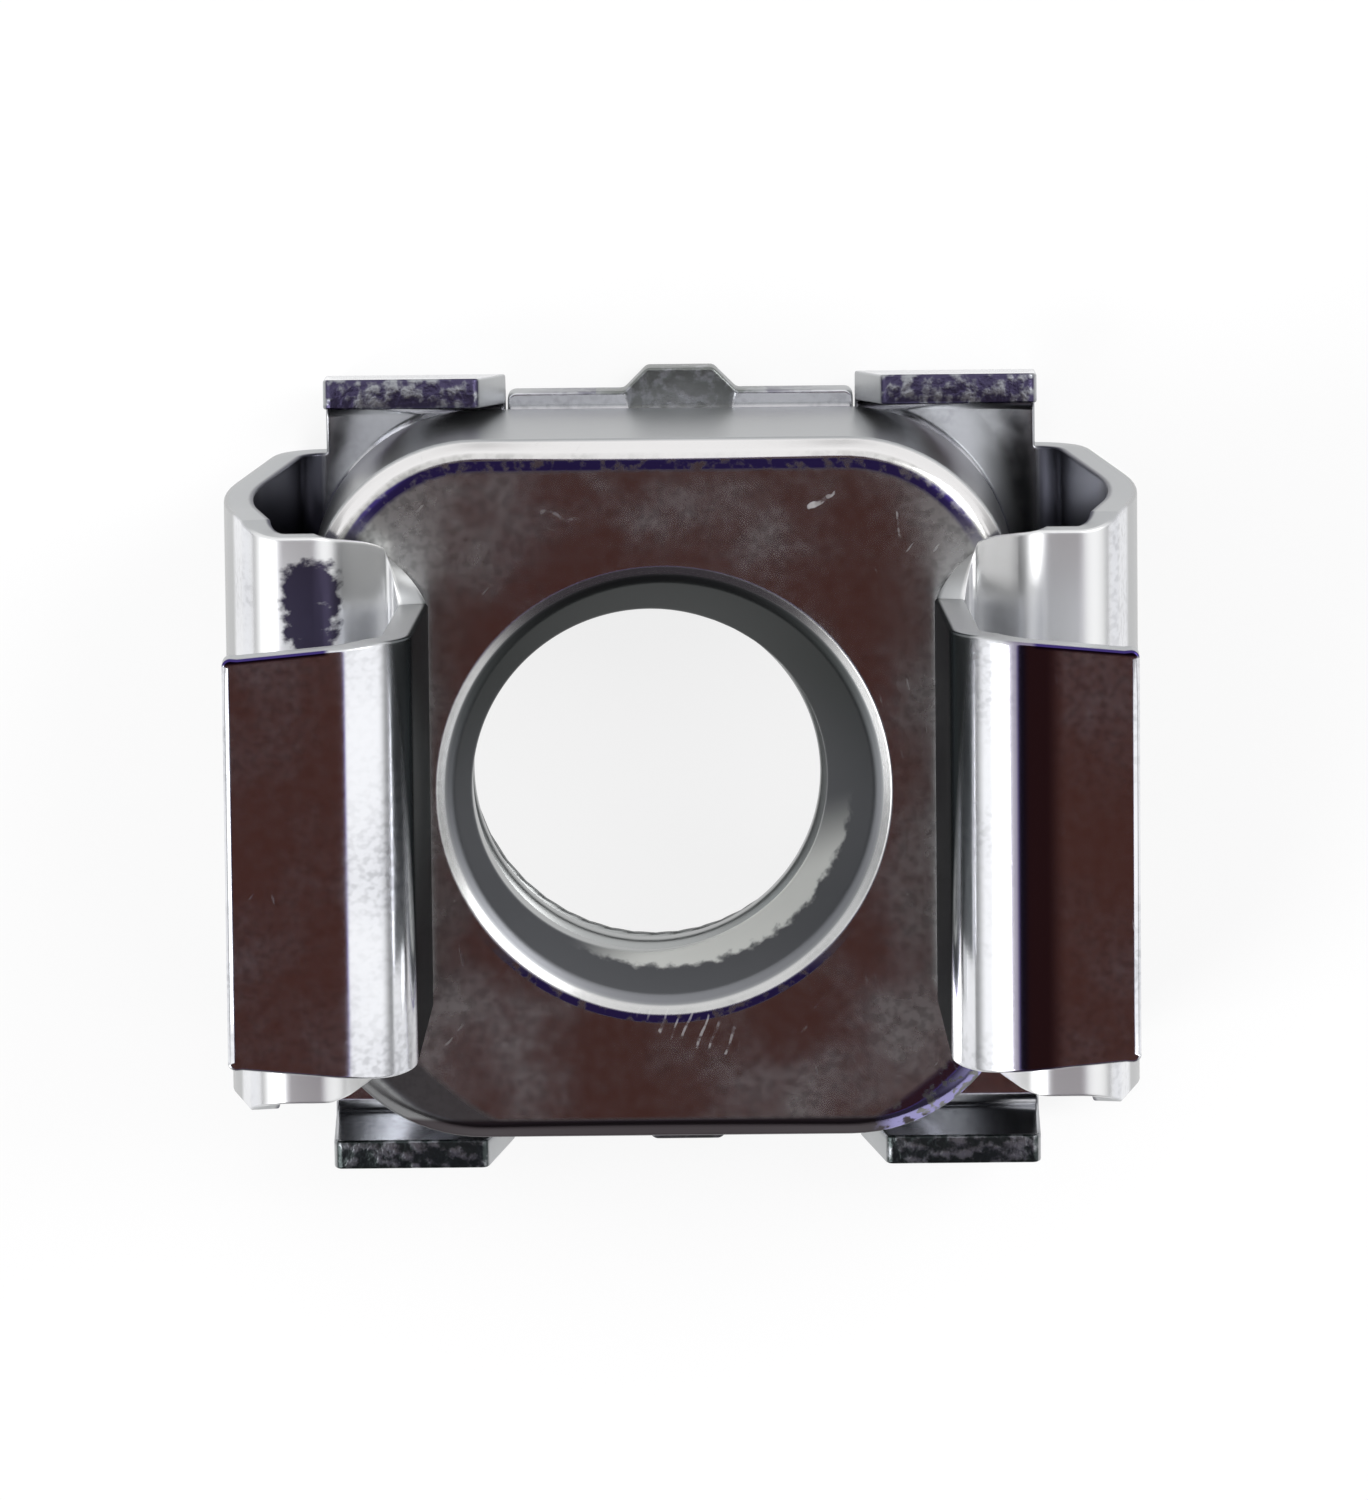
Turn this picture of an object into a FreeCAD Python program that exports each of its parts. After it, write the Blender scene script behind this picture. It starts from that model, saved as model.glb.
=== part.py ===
"""Rack cage nut: a loose M6 square nut held in a folded spring steel cage.

Lengths are millimetres and angles degrees. The origin is the centre of the base plate's underside.
+Z runs along the thread, out of the panel side, and the two wings spread along X. The cage is drawn
as one quarter, from its centre to +X and +Y, and mirrored twice.
"""
import FreeCAD, Part
import Sketcher
import math
import os

SHEET = "sizes"

SIZES = {
    # Square nut
    "nut_width": 10.0,
    "nut_thickness": 3.2,
    "nut_corner_radius": 2.4,
    "nut_edge_chamfer": 0.22,
    "nut_cone_inset": 0.06,
    "nut_cone_angle": 30.0,
    # Bore at thread crests, tapped a little to the left of its two entries
    "thread_minor_radius": 2.46,
    "bore_shift": 0.25,
    "entry_rim_radius": 3.24,
    "entry_step_radius": 3.0,
    "entry_step_angle": 30.0,
    "entry_cone_angle": 35.0,
    "rear_entry_radius": 3.1,
    "entry_clearance": 0.05,
    # Where the loose nut happens to lie in its cage
    "nut_shift_across": -0.27,
    "nut_shift_along": 0.07,
    # Strip and base plate
    "strip_thickness": 0.42,
    "flat_margin": 0.05,
    "base_end_margin": 0.28,
    "base_hole_radius": 3.72,
    "nib_length": 0.33,
    "nib_root_width": 1.6,
    "nib_tip_width": 0.95,
    # Corner tabs, bent up round the nut
    "tab_width": 2.2,
    "tab_root_flare": 0.36,
    "tab_height": 1.9,
    "tab_lean": 6.0,
    "tab_bend_radius": 0.2,
    "tab_bend_inset": 0.05,
    # Wings, from the base outward
    "wing_root_width": 8.7,
    "wing_shoulder_width": 8.2,
    "wing_crest_width": 8.04,
    "wall_taper_rise": 1.1,
    "base_bend_radius": 0.4,
    "lower_wall_lean": 16.0,
    "bulge_radius": 3.0,
    "bulge_rise": 2.7,
    "upper_wall_lean": 12.0,
    "shoulder_bend_radius": 0.2,
    "crest_rise": 1.75,
    "crest_flat": 0.35,
    "crest_bend_radius": 0.14,
    "tip_clearance": 0.08,
    "tip_overlap": 1.45,
    "tip_bend_radius": 0.1,
    "tip_width": 5.68,
    "tip_corner_run": 1.15,
    "tip_corner_rise": 1.06,
    "tip_corner_radius": 1.7,
    "neck_lean": 6.5,
    "neck_flare": 2.6,
    "neck_bend_radius": 0.3,
    "panel_gap": 2.81,
    "lip_overhang": 1.29,
    "lip_root_width": 6.04,
    "lip_edge_width": 5.76,
    "lip_corner_radius": 0.3,
}

# Cells worked out from the driving sizes
DERIVED = {
    "nut_half": "=nut_width / 2",
    "nut_face": "=strip_thickness + nut_thickness",
    "entry_inner": "=thread_minor_radius - bore_shift - entry_clearance",
    "entry_step_drop": "=(entry_rim_radius - entry_step_radius) * tan(entry_step_angle * 1deg)",
    "entry_step_level": "=nut_thickness - entry_step_drop",
    "entry_cone_drop": "=(entry_step_radius - entry_inner) / tan(entry_cone_angle * 1deg)",
    "entry_foot_level": "=entry_step_level - entry_cone_drop",
    "rear_entry_level": "=rear_entry_radius - entry_inner",
    "corner_reach": "=nut_half * sqrt(2) - nut_corner_radius * (sqrt(2) - 1)",
    "cone_start": "=corner_reach - nut_edge_chamfer - nut_cone_inset",
    "cone_end": "=corner_reach + nut_corner_radius",
    "cone_drop": "=(cone_end - cone_start) * tan(nut_cone_angle * 1deg)",
    "cone_top_level": "=nut_thickness - cone_drop",
    "mid_plane": "=strip_thickness / 2",
    "base_half_across": "=nut_half + flat_margin",
    "base_half_along": "=nut_half + base_end_margin",
    "nib_reach": "=base_half_along + nib_length",
    "nib_root_half": "=nib_root_width / 2",
    "nib_tip_half": "=nib_tip_width / 2",
    "tab_path_radius": "=tab_bend_radius + mid_plane",
    "tab_bend_start": "=nut_half - tab_bend_inset",
    "tab_bend_level": "=mid_plane + tab_path_radius",
    "tab_strip_start": "=tab_bend_start - 2 * strip_thickness",
    "tab_top_inner": "=base_half_across - tab_width",
    "tab_inner_end": "=tab_top_inner - tab_root_flare",
    "tab_cut_top": "=tab_height + strip_thickness",
    "crest_top": "=nut_face + crest_rise",
    "lip_top": "=crest_top + panel_gap + strip_thickness",
    "lip_level": "=lip_top - mid_plane",
    "lip_reach": "=nut_half + lip_overhang",
    "base_path_radius": "=base_bend_radius + mid_plane",
    "shoulder_path_radius": "=shoulder_bend_radius + mid_plane",
    "tip_path_radius": "=tip_bend_radius + mid_plane",
    "neck_path_radius": "=neck_bend_radius + mid_plane",
    "crest_path_radius": "=crest_bend_radius + mid_plane",
    "bulge_path_radius": "=bulge_radius + mid_plane",
    "base_bend_level": "=mid_plane + base_path_radius",
    "bulge_level": "=strip_thickness + bulge_rise",
    "crest_level": "=crest_top - mid_plane",
    "shoulder_level": "=crest_top - strip_thickness - shoulder_bend_radius",
    "tip_reach": "=nut_half - tip_overlap",
    "tip_centre": "=tip_reach + strip_thickness + tip_bend_radius",
    "tip_level": "=nut_face + tip_clearance + strip_thickness + tip_bend_radius",
    "wing_root_half": "=wing_root_width / 2",
    "wing_shoulder_half": "=wing_shoulder_width / 2",
    "wing_crest_half": "=wing_crest_width / 2",
    "wall_taper_top": "=strip_thickness + wall_taper_rise",
    "above_crest": "=crest_top + strip_thickness",
    "above_lip": "=lip_top + strip_thickness",
    "beyond_wings": "=lip_reach + 2 * strip_thickness",
    "inside_tips": "=tip_reach - strip_thickness",
    "plan_level": "=(tab_height + nut_face) / 2",
    "tip_half": "=tip_width / 2",
    "tip_corner_across": "=tip_reach + tip_corner_run",
    "tip_corner_along": "=tip_half + tip_corner_rise",
    "gap_across": "=tip_centre + strip_thickness",
    "neck_plane": "=tip_half - nut_face * tan(neck_flare * 1deg)",
    "lip_root_half": "=lip_root_width / 2",
    "lip_edge_half": "=lip_edge_width / 2",
    "lip_corner_across": "=lip_reach - lip_corner_radius",
    "lip_corner_along": "=lip_edge_half - lip_corner_radius",
}


def fill_sheet(document):
    """Writes the driving and the worked-out sizes into the sheet. Returns their values by name."""
    sheet = document.addObject("Spreadsheet::Sheet", SHEET)
    for row, (name, value) in enumerate((SIZES | DERIVED).items(), start=1):
        sheet.set(f"A{row}", name)
        sheet.set(f"B{row}", str(value))
        sheet.setAlias(f"B{row}", name)
    document.recompute()
    return {name: float(sheet.get(name)) for name in SIZES | DERIVED}


def cell(name):
    return f"{SHEET}.{name}"


def origin_feature(body, role):
    return next(item for item in body.Origin.OriginFeatures if item.Role == role)


class BoundSketch:
    """A sketch on an origin plane of its body, with dimensions that follow cells of the sheet."""

    def __init__(self, body, name, plane, sizes, offset=None, turn=None):
        self.sizes = sizes
        self.sketch = body.newObject("Sketcher::SketchObject", name)
        self.sketch.AttachmentSupport = [(origin_feature(body, plane), "")]
        self.sketch.MapMode = "FlatFace"
        if turn is not None:
            axis = FreeCAD.Vector(1, 0, 0)
            self.sketch.AttachmentOffset = FreeCAD.Placement(FreeCAD.Vector(), FreeCAD.Rotation(axis, -1))
            self.sketch.setExpression("AttachmentOffset.Rotation.Angle", f"-{cell(turn)} * 1deg")
        if offset is not None:
            self.sketch.setExpression("AttachmentOffset.Base.z", offset)

    def rule(self, *arguments):
        return self.sketch.addConstraint(Sketcher.Constraint(*arguments))

    def size(self, name, *arguments):
        """A dimension that follows the cell with this name."""
        index = self.rule(*arguments, self.sizes[name])
        self.sketch.setExpression(f"Constraints[{index}]", cell(name))

    def lean(self, name, line, outward):
        """Leans a rising line from the upright by the angle in this cell."""
        sign, word = (-1, "-") if outward else (1, "+")
        index = self.rule("Angle", line, math.radians(90 + sign * self.sizes[name]))
        self.sketch.setExpression(f"Constraints[{index}]", f"90deg {word} {cell(name)} * 1deg")

    def pin(self, item, end, across, up):
        """Puts one end of an item at two cells' distances from the axes, None being on the axis."""
        if across is None:
            self.rule("PointOnObject", item, end, -2)
        else:
            self.size(across, "DistanceX", -1, 1, item, end)
        if up is None:
            self.rule("PointOnObject", item, end, -1)
        else:
            self.size(up, "DistanceY", -1, 1, item, end)

    def line(self, start, finish):
        segment = Part.LineSegment(FreeCAD.Vector(*start, 0), FreeCAD.Vector(*finish, 0))
        return self.sketch.addGeometry(segment)

    def arc(self, centre, radius, first, last):
        """An arc that runs counterclockwise between two angles in radians."""
        circle = Part.Circle(FreeCAD.Vector(*centre, 0), FreeCAD.Vector(0, 0, 1), radius)
        return self.sketch.addGeometry(Part.ArcOfCircle(circle, first, last))

    def left_turn(self, centre, radius, first_heading, last_heading):
        """A bend to the left, between two headings in radians. It runs from its end 1 to its end 2."""
        upright = math.pi / 2
        return self.arc(centre, radius, first_heading - upright, last_heading - upright)

    def right_turn(self, centre, radius, first_heading, last_heading):
        """A bend to the right, between two headings in radians. It runs from its end 2 to its end 1."""
        upright = math.pi / 2
        return self.arc(centre, radius, last_heading + upright, first_heading + upright)

    def chain(self, items):
        """Joins lines and bends smoothly, each given with its first and its last end."""
        for (item, _, last), (next_item, first, _) in zip(items, items[1:]):
            self.rule("Tangent", item, last, next_item, first)

    def outline(self, corners, rounded=None):
        """A closed outline through corners, each a pair of cells.

        rounded maps a corner's number to the cell with the radius of the arc that leads from that
        corner to the next one. The arc turns clockwise.
        """
        rounded = rounded or {}
        points = [tuple(self.sizes[name] if name else 0.0 for name in corner) for corner in corners]
        edges = []
        for number, start in enumerate(points):
            finish = points[(number + 1) % len(points)]
            if number in rounded:
                edges.append((self.clockwise(start, finish, self.sizes[rounded[number]]), 2, 1))
            else:
                edges.append((self.line(start, finish), 1, 2))
        for number, (item, first, last) in enumerate(edges):
            next_item, next_first, _ = edges[(number + 1) % len(edges)]
            self.rule("Coincident", item, last, next_item, next_first)
            self.pin(item, first, *corners[number])
            if number in rounded:
                self.size(rounded[number], "Radius", item)

    def clockwise(self, start, finish, radius):
        """An arc of this radius from start to finish that turns clockwise."""
        chord = math.dist(start, finish)
        across = ((finish[0] - start[0]) / chord, (finish[1] - start[1]) / chord)
        depth = math.sqrt(max(radius ** 2 - (chord / 2) ** 2, 0.0))
        middle = ((start[0] + finish[0]) / 2, (start[1] + finish[1]) / 2)
        centre = (middle[0] + depth * across[1], middle[1] - depth * across[0])
        first = math.atan2(finish[1] - centre[1], finish[0] - centre[0])
        last = math.atan2(start[1] - centre[1], start[0] - centre[0])
        return self.arc(centre, radius, first, last)

    def round_hole(self, name, shift=None):
        """A circle whose radius is in one cell, and whose distance to the left may be in another."""
        circle = Part.Circle(FreeCAD.Vector(), FreeCAD.Vector(0, 0, 1), self.sizes[name])
        item = self.sketch.addGeometry(circle)
        self.size(name, "Radius", item)
        if shift is None:
            self.rule("Coincident", item, 3, -1, 1)
        else:
            self.rule("PointOnObject", item, 3, -1)
            self.size(shift, "DistanceX", item, 3, -1, 1)


def pad(body, name, sketch, length):
    feature = body.newObject("PartDesign::Pad", name)
    feature.Profile = sketch.sketch
    feature.setExpression("Length", cell(length))
    return feature


def cut_through(body, name, sketch, reverse):
    feature = body.newObject("PartDesign::Pocket", name)
    feature.Profile = sketch.sketch
    feature.Type = "ThroughAll"
    feature.Reversed = reverse
    return feature


def turn_cut(body, name, sketch):
    """Turns a section about the upright axis and takes it away."""
    feature = body.newObject("PartDesign::Groove", name)
    feature.Profile = sketch.sketch
    feature.ReferenceAxis = (sketch.sketch, ["V_Axis"])
    feature.Angle = 360
    return feature


def fold(body, name, section, path):
    """Sweeps a flat strip's section along the middle line of its folds."""
    feature = body.newObject("PartDesign::AdditivePipe", name)
    feature.Profile = section.sketch
    feature.Spine = (path.sketch, [])
    return feature


def heading_point(centre, radius, heading, side):
    """Where a path with this heading touches a bend. side is 1 for a left turn and -1 for a right."""
    return (centre[0] + side * radius * math.sin(heading), centre[1] - side * radius * math.cos(heading))


def draw_tab_path(body, sizes):
    """Middle line of a corner tab: along the base, round the bend and up, leaning outward."""
    path = BoundSketch(body, "tab_path", "YZ_Plane", sizes)
    heading = math.radians(90 - sizes["tab_lean"])
    radius = sizes["tab_path_radius"]
    bend = (sizes["tab_bend_start"], sizes["tab_bend_level"])
    leave = heading_point(bend, radius, heading, 1)
    rise = sizes["tab_height"] - leave[1]
    top = (leave[0] + rise / math.tan(heading), sizes["tab_height"])
    flat = path.line((sizes["tab_strip_start"], sizes["mid_plane"]), (bend[0], sizes["mid_plane"]))
    turn = path.left_turn(bend, radius, 0, heading)
    upright = path.line(leave, top)
    path.chain([(flat, 1, 2), (turn, 1, 2), (upright, 1, 2)])
    path.rule("Horizontal", flat)
    path.pin(flat, 1, "tab_strip_start", "mid_plane")
    path.size("tab_bend_start", "DistanceX", -1, 1, turn, 3)
    path.size("tab_path_radius", "Radius", turn)
    path.lean("tab_lean", upright, outward=True)
    path.size("tab_height", "DistanceY", -1, 1, upright, 2)
    return path


def draw_wing_path(body, sizes):
    """Middle line of a wing: base, bulging wall, shoulder, crest, slope to the nut, neck and lip."""
    path = BoundSketch(body, "wing_path", "XZ_Plane", sizes)
    upright = math.pi / 2
    inward = math.pi
    lower_heading = upright - math.radians(sizes["lower_wall_lean"])
    upper_heading = upright + math.radians(sizes["upper_wall_lean"])
    neck_heading = upright - math.radians(sizes["neck_lean"])
    base_radius = sizes["base_path_radius"]
    bulge_radius = sizes["bulge_path_radius"]
    shoulder_radius = sizes["shoulder_path_radius"]
    crest_radius = sizes["crest_path_radius"]
    tip_radius = sizes["tip_path_radius"]
    neck_radius = sizes["neck_path_radius"]

    base_bend = (sizes["base_half_across"], sizes["base_bend_level"])
    lower_foot = heading_point(base_bend, base_radius, lower_heading, 1)
    lower_rise = sizes["bulge_level"] - bulge_radius * math.cos(lower_heading) - lower_foot[1]
    lower_head = (lower_foot[0] + lower_rise / math.tan(lower_heading), lower_foot[1] + lower_rise)
    bulge = (lower_head[0] - bulge_radius * math.sin(lower_heading), sizes["bulge_level"])
    upper_foot = heading_point(bulge, bulge_radius, upper_heading, 1)
    upper_rise = sizes["shoulder_level"] - shoulder_radius * math.cos(upper_heading) - upper_foot[1]
    upper_head = (upper_foot[0] + upper_rise / math.tan(upper_heading), upper_foot[1] + upper_rise)
    shoulder = (upper_head[0] - shoulder_radius * math.sin(upper_heading), sizes["shoulder_level"])
    crest_head = (shoulder[0], sizes["crest_level"])
    crest_foot = (shoulder[0] - sizes["crest_flat"], sizes["crest_level"])
    crest_bend = (crest_foot[0], sizes["crest_level"] - crest_radius)
    tip = (sizes["tip_centre"], sizes["tip_level"])
    bearing = math.atan2(tip[1] - crest_bend[1], tip[0] - crest_bend[0]) % (2 * math.pi)
    slope_heading = bearing + math.asin((crest_radius + tip_radius) / math.dist(crest_bend, tip))
    slope_head = heading_point(crest_bend, crest_radius, slope_heading, 1)
    slope_foot = heading_point(tip, tip_radius, slope_heading, -1)
    neck_foot = heading_point(tip, tip_radius, neck_heading, -1)
    neck_rise = sizes["lip_level"] - neck_radius + neck_radius * math.cos(neck_heading) - neck_foot[1]
    neck_head = (neck_foot[0] + neck_rise / math.tan(neck_heading), neck_foot[1] + neck_rise)
    neck_bend = (neck_head[0] + neck_radius * math.sin(neck_heading), sizes["lip_level"] - neck_radius)

    base = path.line((0, sizes["mid_plane"]), (base_bend[0], sizes["mid_plane"]))
    base_turn = path.left_turn(base_bend, base_radius, 0, lower_heading)
    lower_wall = path.line(lower_foot, lower_head)
    bulge_turn = path.left_turn(bulge, bulge_radius, lower_heading, upper_heading)
    upper_wall = path.line(upper_foot, upper_head)
    shoulder_turn = path.left_turn(shoulder, shoulder_radius, upper_heading, inward)
    crest = path.line(crest_head, crest_foot)
    crest_turn = path.left_turn(crest_bend, crest_radius, inward, slope_heading)
    slope = path.line(slope_head, slope_foot)
    tip_turn = path.right_turn(tip, tip_radius, slope_heading, neck_heading)
    neck = path.line(neck_foot, neck_head)
    neck_turn = path.right_turn(neck_bend, neck_radius, neck_heading, 0)
    lip = path.line((neck_bend[0], sizes["lip_level"]), (sizes["lip_reach"], sizes["lip_level"]))

    path.chain([
        (base, 1, 2), (base_turn, 1, 2), (lower_wall, 1, 2), (bulge_turn, 1, 2), (upper_wall, 1, 2),
        (shoulder_turn, 1, 2), (crest, 1, 2), (crest_turn, 1, 2), (slope, 1, 2), (tip_turn, 2, 1),
        (neck, 1, 2), (neck_turn, 2, 1), (lip, 1, 2),
    ])
    for level_line in (base, crest, lip):
        path.rule("Horizontal", level_line)
    path.pin(base, 1, None, "mid_plane")
    path.pin(base_turn, 3, "base_half_across", "base_bend_level")
    path.size("bulge_level", "DistanceY", -1, 1, bulge_turn, 3)
    path.size("crest_level", "DistanceY", -1, 1, crest, 1)
    path.size("crest_flat", "DistanceX", crest, 2, crest, 1)
    path.pin(tip_turn, 3, "tip_centre", "tip_level")
    path.pin(lip, 2, "lip_reach", "lip_level")
    for turn, radius in (
        (bulge_turn, "bulge_path_radius"),
        (shoulder_turn, "shoulder_path_radius"),
        (crest_turn, "crest_path_radius"),
        (tip_turn, "tip_path_radius"),
        (neck_turn, "neck_path_radius"),
    ):
        path.size(radius, "Radius", turn)
    path.lean("lower_wall_lean", lower_wall, outward=True)
    path.lean("upper_wall_lean", upper_wall, outward=False)
    path.lean("neck_lean", neck, outward=True)
    return path


def trim_wing(body, sizes):
    """Cuts the strip's edges back: up the wall, in to the tip, up the neck and round the lip."""
    wall = BoundSketch(body, "wall_edge", "YZ_Plane", sizes, offset=cell("base_half_across"))
    wall.outline([
        ("wing_root_half", "strip_thickness"),
        ("wing_shoulder_half", "wall_taper_top"),
        ("wing_shoulder_half", "shoulder_level"),
        ("wing_crest_half", "crest_top"),
        ("wing_crest_half", "above_crest"),
        ("beyond_wings", "above_crest"),
        ("beyond_wings", "strip_thickness"),
    ])
    cut_through(body, "wall_edge_cut", wall, reverse=True)

    shoulder = BoundSketch(body, "shoulder_edge", "XY_Plane", sizes, offset=cell("plan_level"))
    shoulder.outline([
        ("inside_tips", "tip_half"),
        ("tip_reach", "tip_half"),
        ("tip_corner_across", "tip_corner_along"),
        ("base_half_across", "wing_crest_half"),
        ("base_half_across", "beyond_wings"),
        ("inside_tips", "beyond_wings"),
    ], rounded={1: "tip_corner_radius"})
    cut_through(body, "shoulder_edge_cut", shoulder, reverse=True)

    neck = BoundSketch(
        body, "neck_edge", "XZ_Plane", sizes, offset=f"-{cell('neck_plane')}", turn="neck_flare"
    )
    neck.outline([
        ("inside_tips", "tip_level"),
        ("tip_centre", "tip_level"),
        ("gap_across", "above_crest"),
        ("beyond_wings", "above_crest"),
        ("beyond_wings", "above_lip"),
        ("inside_tips", "above_lip"),
    ])
    cut_through(body, "neck_edge_cut", neck, reverse=False)

    lip = BoundSketch(body, "lip_edge", "XY_Plane", sizes, offset=cell("above_crest"))
    lip.outline([
        ("gap_across", "lip_root_half"),
        ("lip_corner_across", "lip_edge_half"),
        ("lip_reach", "lip_corner_along"),
        ("beyond_wings", "lip_corner_along"),
        ("beyond_wings", "beyond_wings"),
        ("gap_across", "beyond_wings"),
    ], rounded={1: "lip_corner_radius"})
    cut_through(body, "lip_edge_cut", lip, reverse=True)


def mirror(body, name, role):
    """Mirrors everything built so far across one of the body's upright planes."""
    feature = body.newObject("PartDesign::Mirrored", name)
    feature.TransformMode = "Whole shape"
    feature.MirrorPlane = (origin_feature(body, role), [""])
    body.Tip = feature
    return feature


def build_spring_cage(document, sizes):
    """The cage: base plate with its hole and nibs, four corner tabs and two folded wings."""
    body = document.addObject("PartDesign::Body", "spring_cage")
    body.Label = "spring_cage"

    base = BoundSketch(body, "base_outline", "XY_Plane", sizes)
    base.outline([
        (None, None),
        ("base_half_across", None),
        ("base_half_across", "tab_bend_start"),
        ("tab_inner_end", "tab_bend_start"),
        ("tab_inner_end", "base_half_along"),
        ("nib_root_half", "base_half_along"),
        ("nib_tip_half", "nib_reach"),
        (None, "nib_reach"),
    ])
    pad(body, "base_plate", base, "strip_thickness")

    tab_path = draw_tab_path(body, sizes)
    tab_section = BoundSketch(
        body, "tab_section", "XZ_Plane", sizes, offset=f"-{cell('tab_strip_start')}"
    )
    tab_section.outline([
        ("tab_inner_end", None),
        ("base_half_across", None),
        ("base_half_across", "strip_thickness"),
        ("tab_inner_end", "strip_thickness"),
    ])
    fold(body, "corner_tab", tab_section, tab_path)
    tab_end = BoundSketch(body, "tab_end", "XZ_Plane", sizes)
    tab_end.outline([
        ("tab_inner_end", "strip_thickness"),
        ("tab_top_inner", "tab_cut_top"),
        ("tab_inner_end", "tab_cut_top"),
    ])
    cut_through(body, "tab_end_cut", tab_end, reverse=False)

    wing_path = draw_wing_path(body, sizes)
    wing_section = BoundSketch(body, "wing_section", "YZ_Plane", sizes)
    wing_section.outline([
        (None, None),
        ("wing_root_half", None),
        ("wing_root_half", "strip_thickness"),
        (None, "strip_thickness"),
    ])
    fold(body, "wing", wing_section, wing_path)
    trim_wing(body, sizes)

    hole = BoundSketch(body, "base_hole", "XY_Plane", sizes)
    hole.round_hole("base_hole_radius")
    hole_cut = cut_through(body, "base_hole_cut", hole, reverse=True)
    hole_cut.Type = "Length"
    hole_cut.setExpression("Length", cell("tab_height"))

    mirror(body, "other_side", "XZ_Plane")
    mirror(body, "other_wing", "YZ_Plane")
    return body


def edges_of(feature, wanted):
    """The names of a feature's edges that pass a test."""
    return [f"Edge{number}" for number, edge in enumerate(feature.Shape.Edges, start=1) if wanted(edge)]


def build_square_nut(document, sizes):
    """The nut: a square block with rounded corners, chamfered edges and a bore at thread crests.

    The bore is opened at both ends: in front by a shallow rim and a steep cone, behind by a cone.
    """
    body = document.addObject("PartDesign::Body", "square_nut")
    body.Label = "square_nut"
    thickness = sizes["nut_thickness"]

    square = BoundSketch(body, "nut_outline", "XY_Plane", sizes)
    half = sizes["nut_half"]
    sides = [
        square.line((-half, -half), (half, -half)),
        square.line((half, -half), (half, half)),
        square.line((half, half), (-half, half)),
        square.line((-half, half), (-half, -half)),
    ]
    for number, side in enumerate(sides):
        square.rule("Coincident", side, 2, sides[(number + 1) % 4], 1)
        square.rule("Horizontal" if number % 2 == 0 else "Vertical", side)
    square.rule("Symmetric", sides[0], 1, sides[1], 2, -1, 1)
    square.size("nut_width", "DistanceX", sides[0], 1, sides[0], 2)
    square.size("nut_width", "DistanceY", sides[1], 1, sides[1], 2)
    block = pad(body, "nut_block", square, "nut_thickness")
    document.recompute()

    corners = body.newObject("PartDesign::Fillet", "nut_corners")
    corners.Base = (block, edges_of(block, lambda edge: edge.BoundBox.ZLength > thickness / 2))
    corners.setExpression("Radius", cell("nut_corner_radius"))
    document.recompute()

    rims = body.newObject("PartDesign::Chamfer", "nut_rims")
    rims.Base = (corners, edges_of(corners, lambda edge: edge.BoundBox.ZLength < thickness / 2))
    rims.setExpression("Size", cell("nut_edge_chamfer"))

    cone = BoundSketch(body, "corner_cone", "XZ_Plane", sizes)
    cone.outline([
        ("cone_start", "nut_thickness"),
        ("cone_end", "nut_thickness"),
        ("cone_end", "cone_top_level"),
    ])
    turn_cut(body, "corner_cone_cut", cone)

    bore = BoundSketch(body, "thread_bore", "XY_Plane", sizes)
    bore.round_hole("thread_minor_radius", shift="bore_shift")
    cut_through(body, "thread_bore_cut", bore, reverse=True)

    front = BoundSketch(body, "front_entry", "XZ_Plane", sizes)
    front.outline([
        ("entry_inner", "nut_thickness"),
        ("entry_rim_radius", "nut_thickness"),
        ("entry_step_radius", "entry_step_level"),
        ("entry_inner", "entry_foot_level"),
    ])
    turn_cut(body, "front_entry_cut", front)

    rear = BoundSketch(body, "rear_entry", "XZ_Plane", sizes)
    rear.outline([
        ("entry_inner", None),
        ("rear_entry_radius", None),
        ("entry_inner", "rear_entry_level"),
    ])
    turn_cut(body, "rear_entry_cut", rear)

    body.setExpression("Placement.Base.x", cell("nut_shift_across"))
    body.setExpression("Placement.Base.y", cell("nut_shift_along"))
    body.setExpression("Placement.Base.z", cell("strip_thickness"))
    return body


def check(document, bodies):
    """Stops with a message if an object failed or a body isn't one valid solid."""
    for item in document.Objects:
        if "Invalid" in item.State or "Error" in item.State:
            raise RuntimeError(f"{item.Name} failed: {item.State}")
    for body in bodies:
        shape = body.Shape
        if shape.isNull() or not shape.isValid() or len(shape.Solids) != 1:
            raise RuntimeError(f"{body.Label} isn't one valid solid")


def main():
    document = FreeCAD.newDocument("cage_nut")
    sizes = fill_sheet(document)
    bodies = [build_spring_cage(document, sizes), build_square_nut(document, sizes)]
    document.recompute()
    check(document, bodies)
    os.makedirs("parts", exist_ok=True)
    for body in bodies:
        body.Shape.exportStep(f"parts/{body.Label}.step")
        box = body.Shape.BoundBox
        spans = [round(span, 3) for span in (box.XMin, box.XMax, box.YMin, box.YMax, box.ZMin, box.ZMax)]
        print(f"{body.Label}: volume {body.Shape.Volume:.2f}, spans {spans}")


main()
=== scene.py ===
"""Rack cage nut, dressed for the render: a folded, zinc plated cage round a loose threaded nut.

The cage is made as it is in the press shop. A flat blank is pierced, its edges are eased, and a
Geometry Nodes tree folds it along its bend lines. The nut is turned from rings of points, and a
second tree cuts the thread. Sizes are millimetres and angles degrees until a mesh is made.
"""
from __future__ import annotations

import logging
import math
from dataclasses import dataclass, field
from enum import Enum

import bmesh
import bpy
from mathutils import Matrix, Vector
from mathutils.geometry import delaunay_2d_cdt

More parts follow.
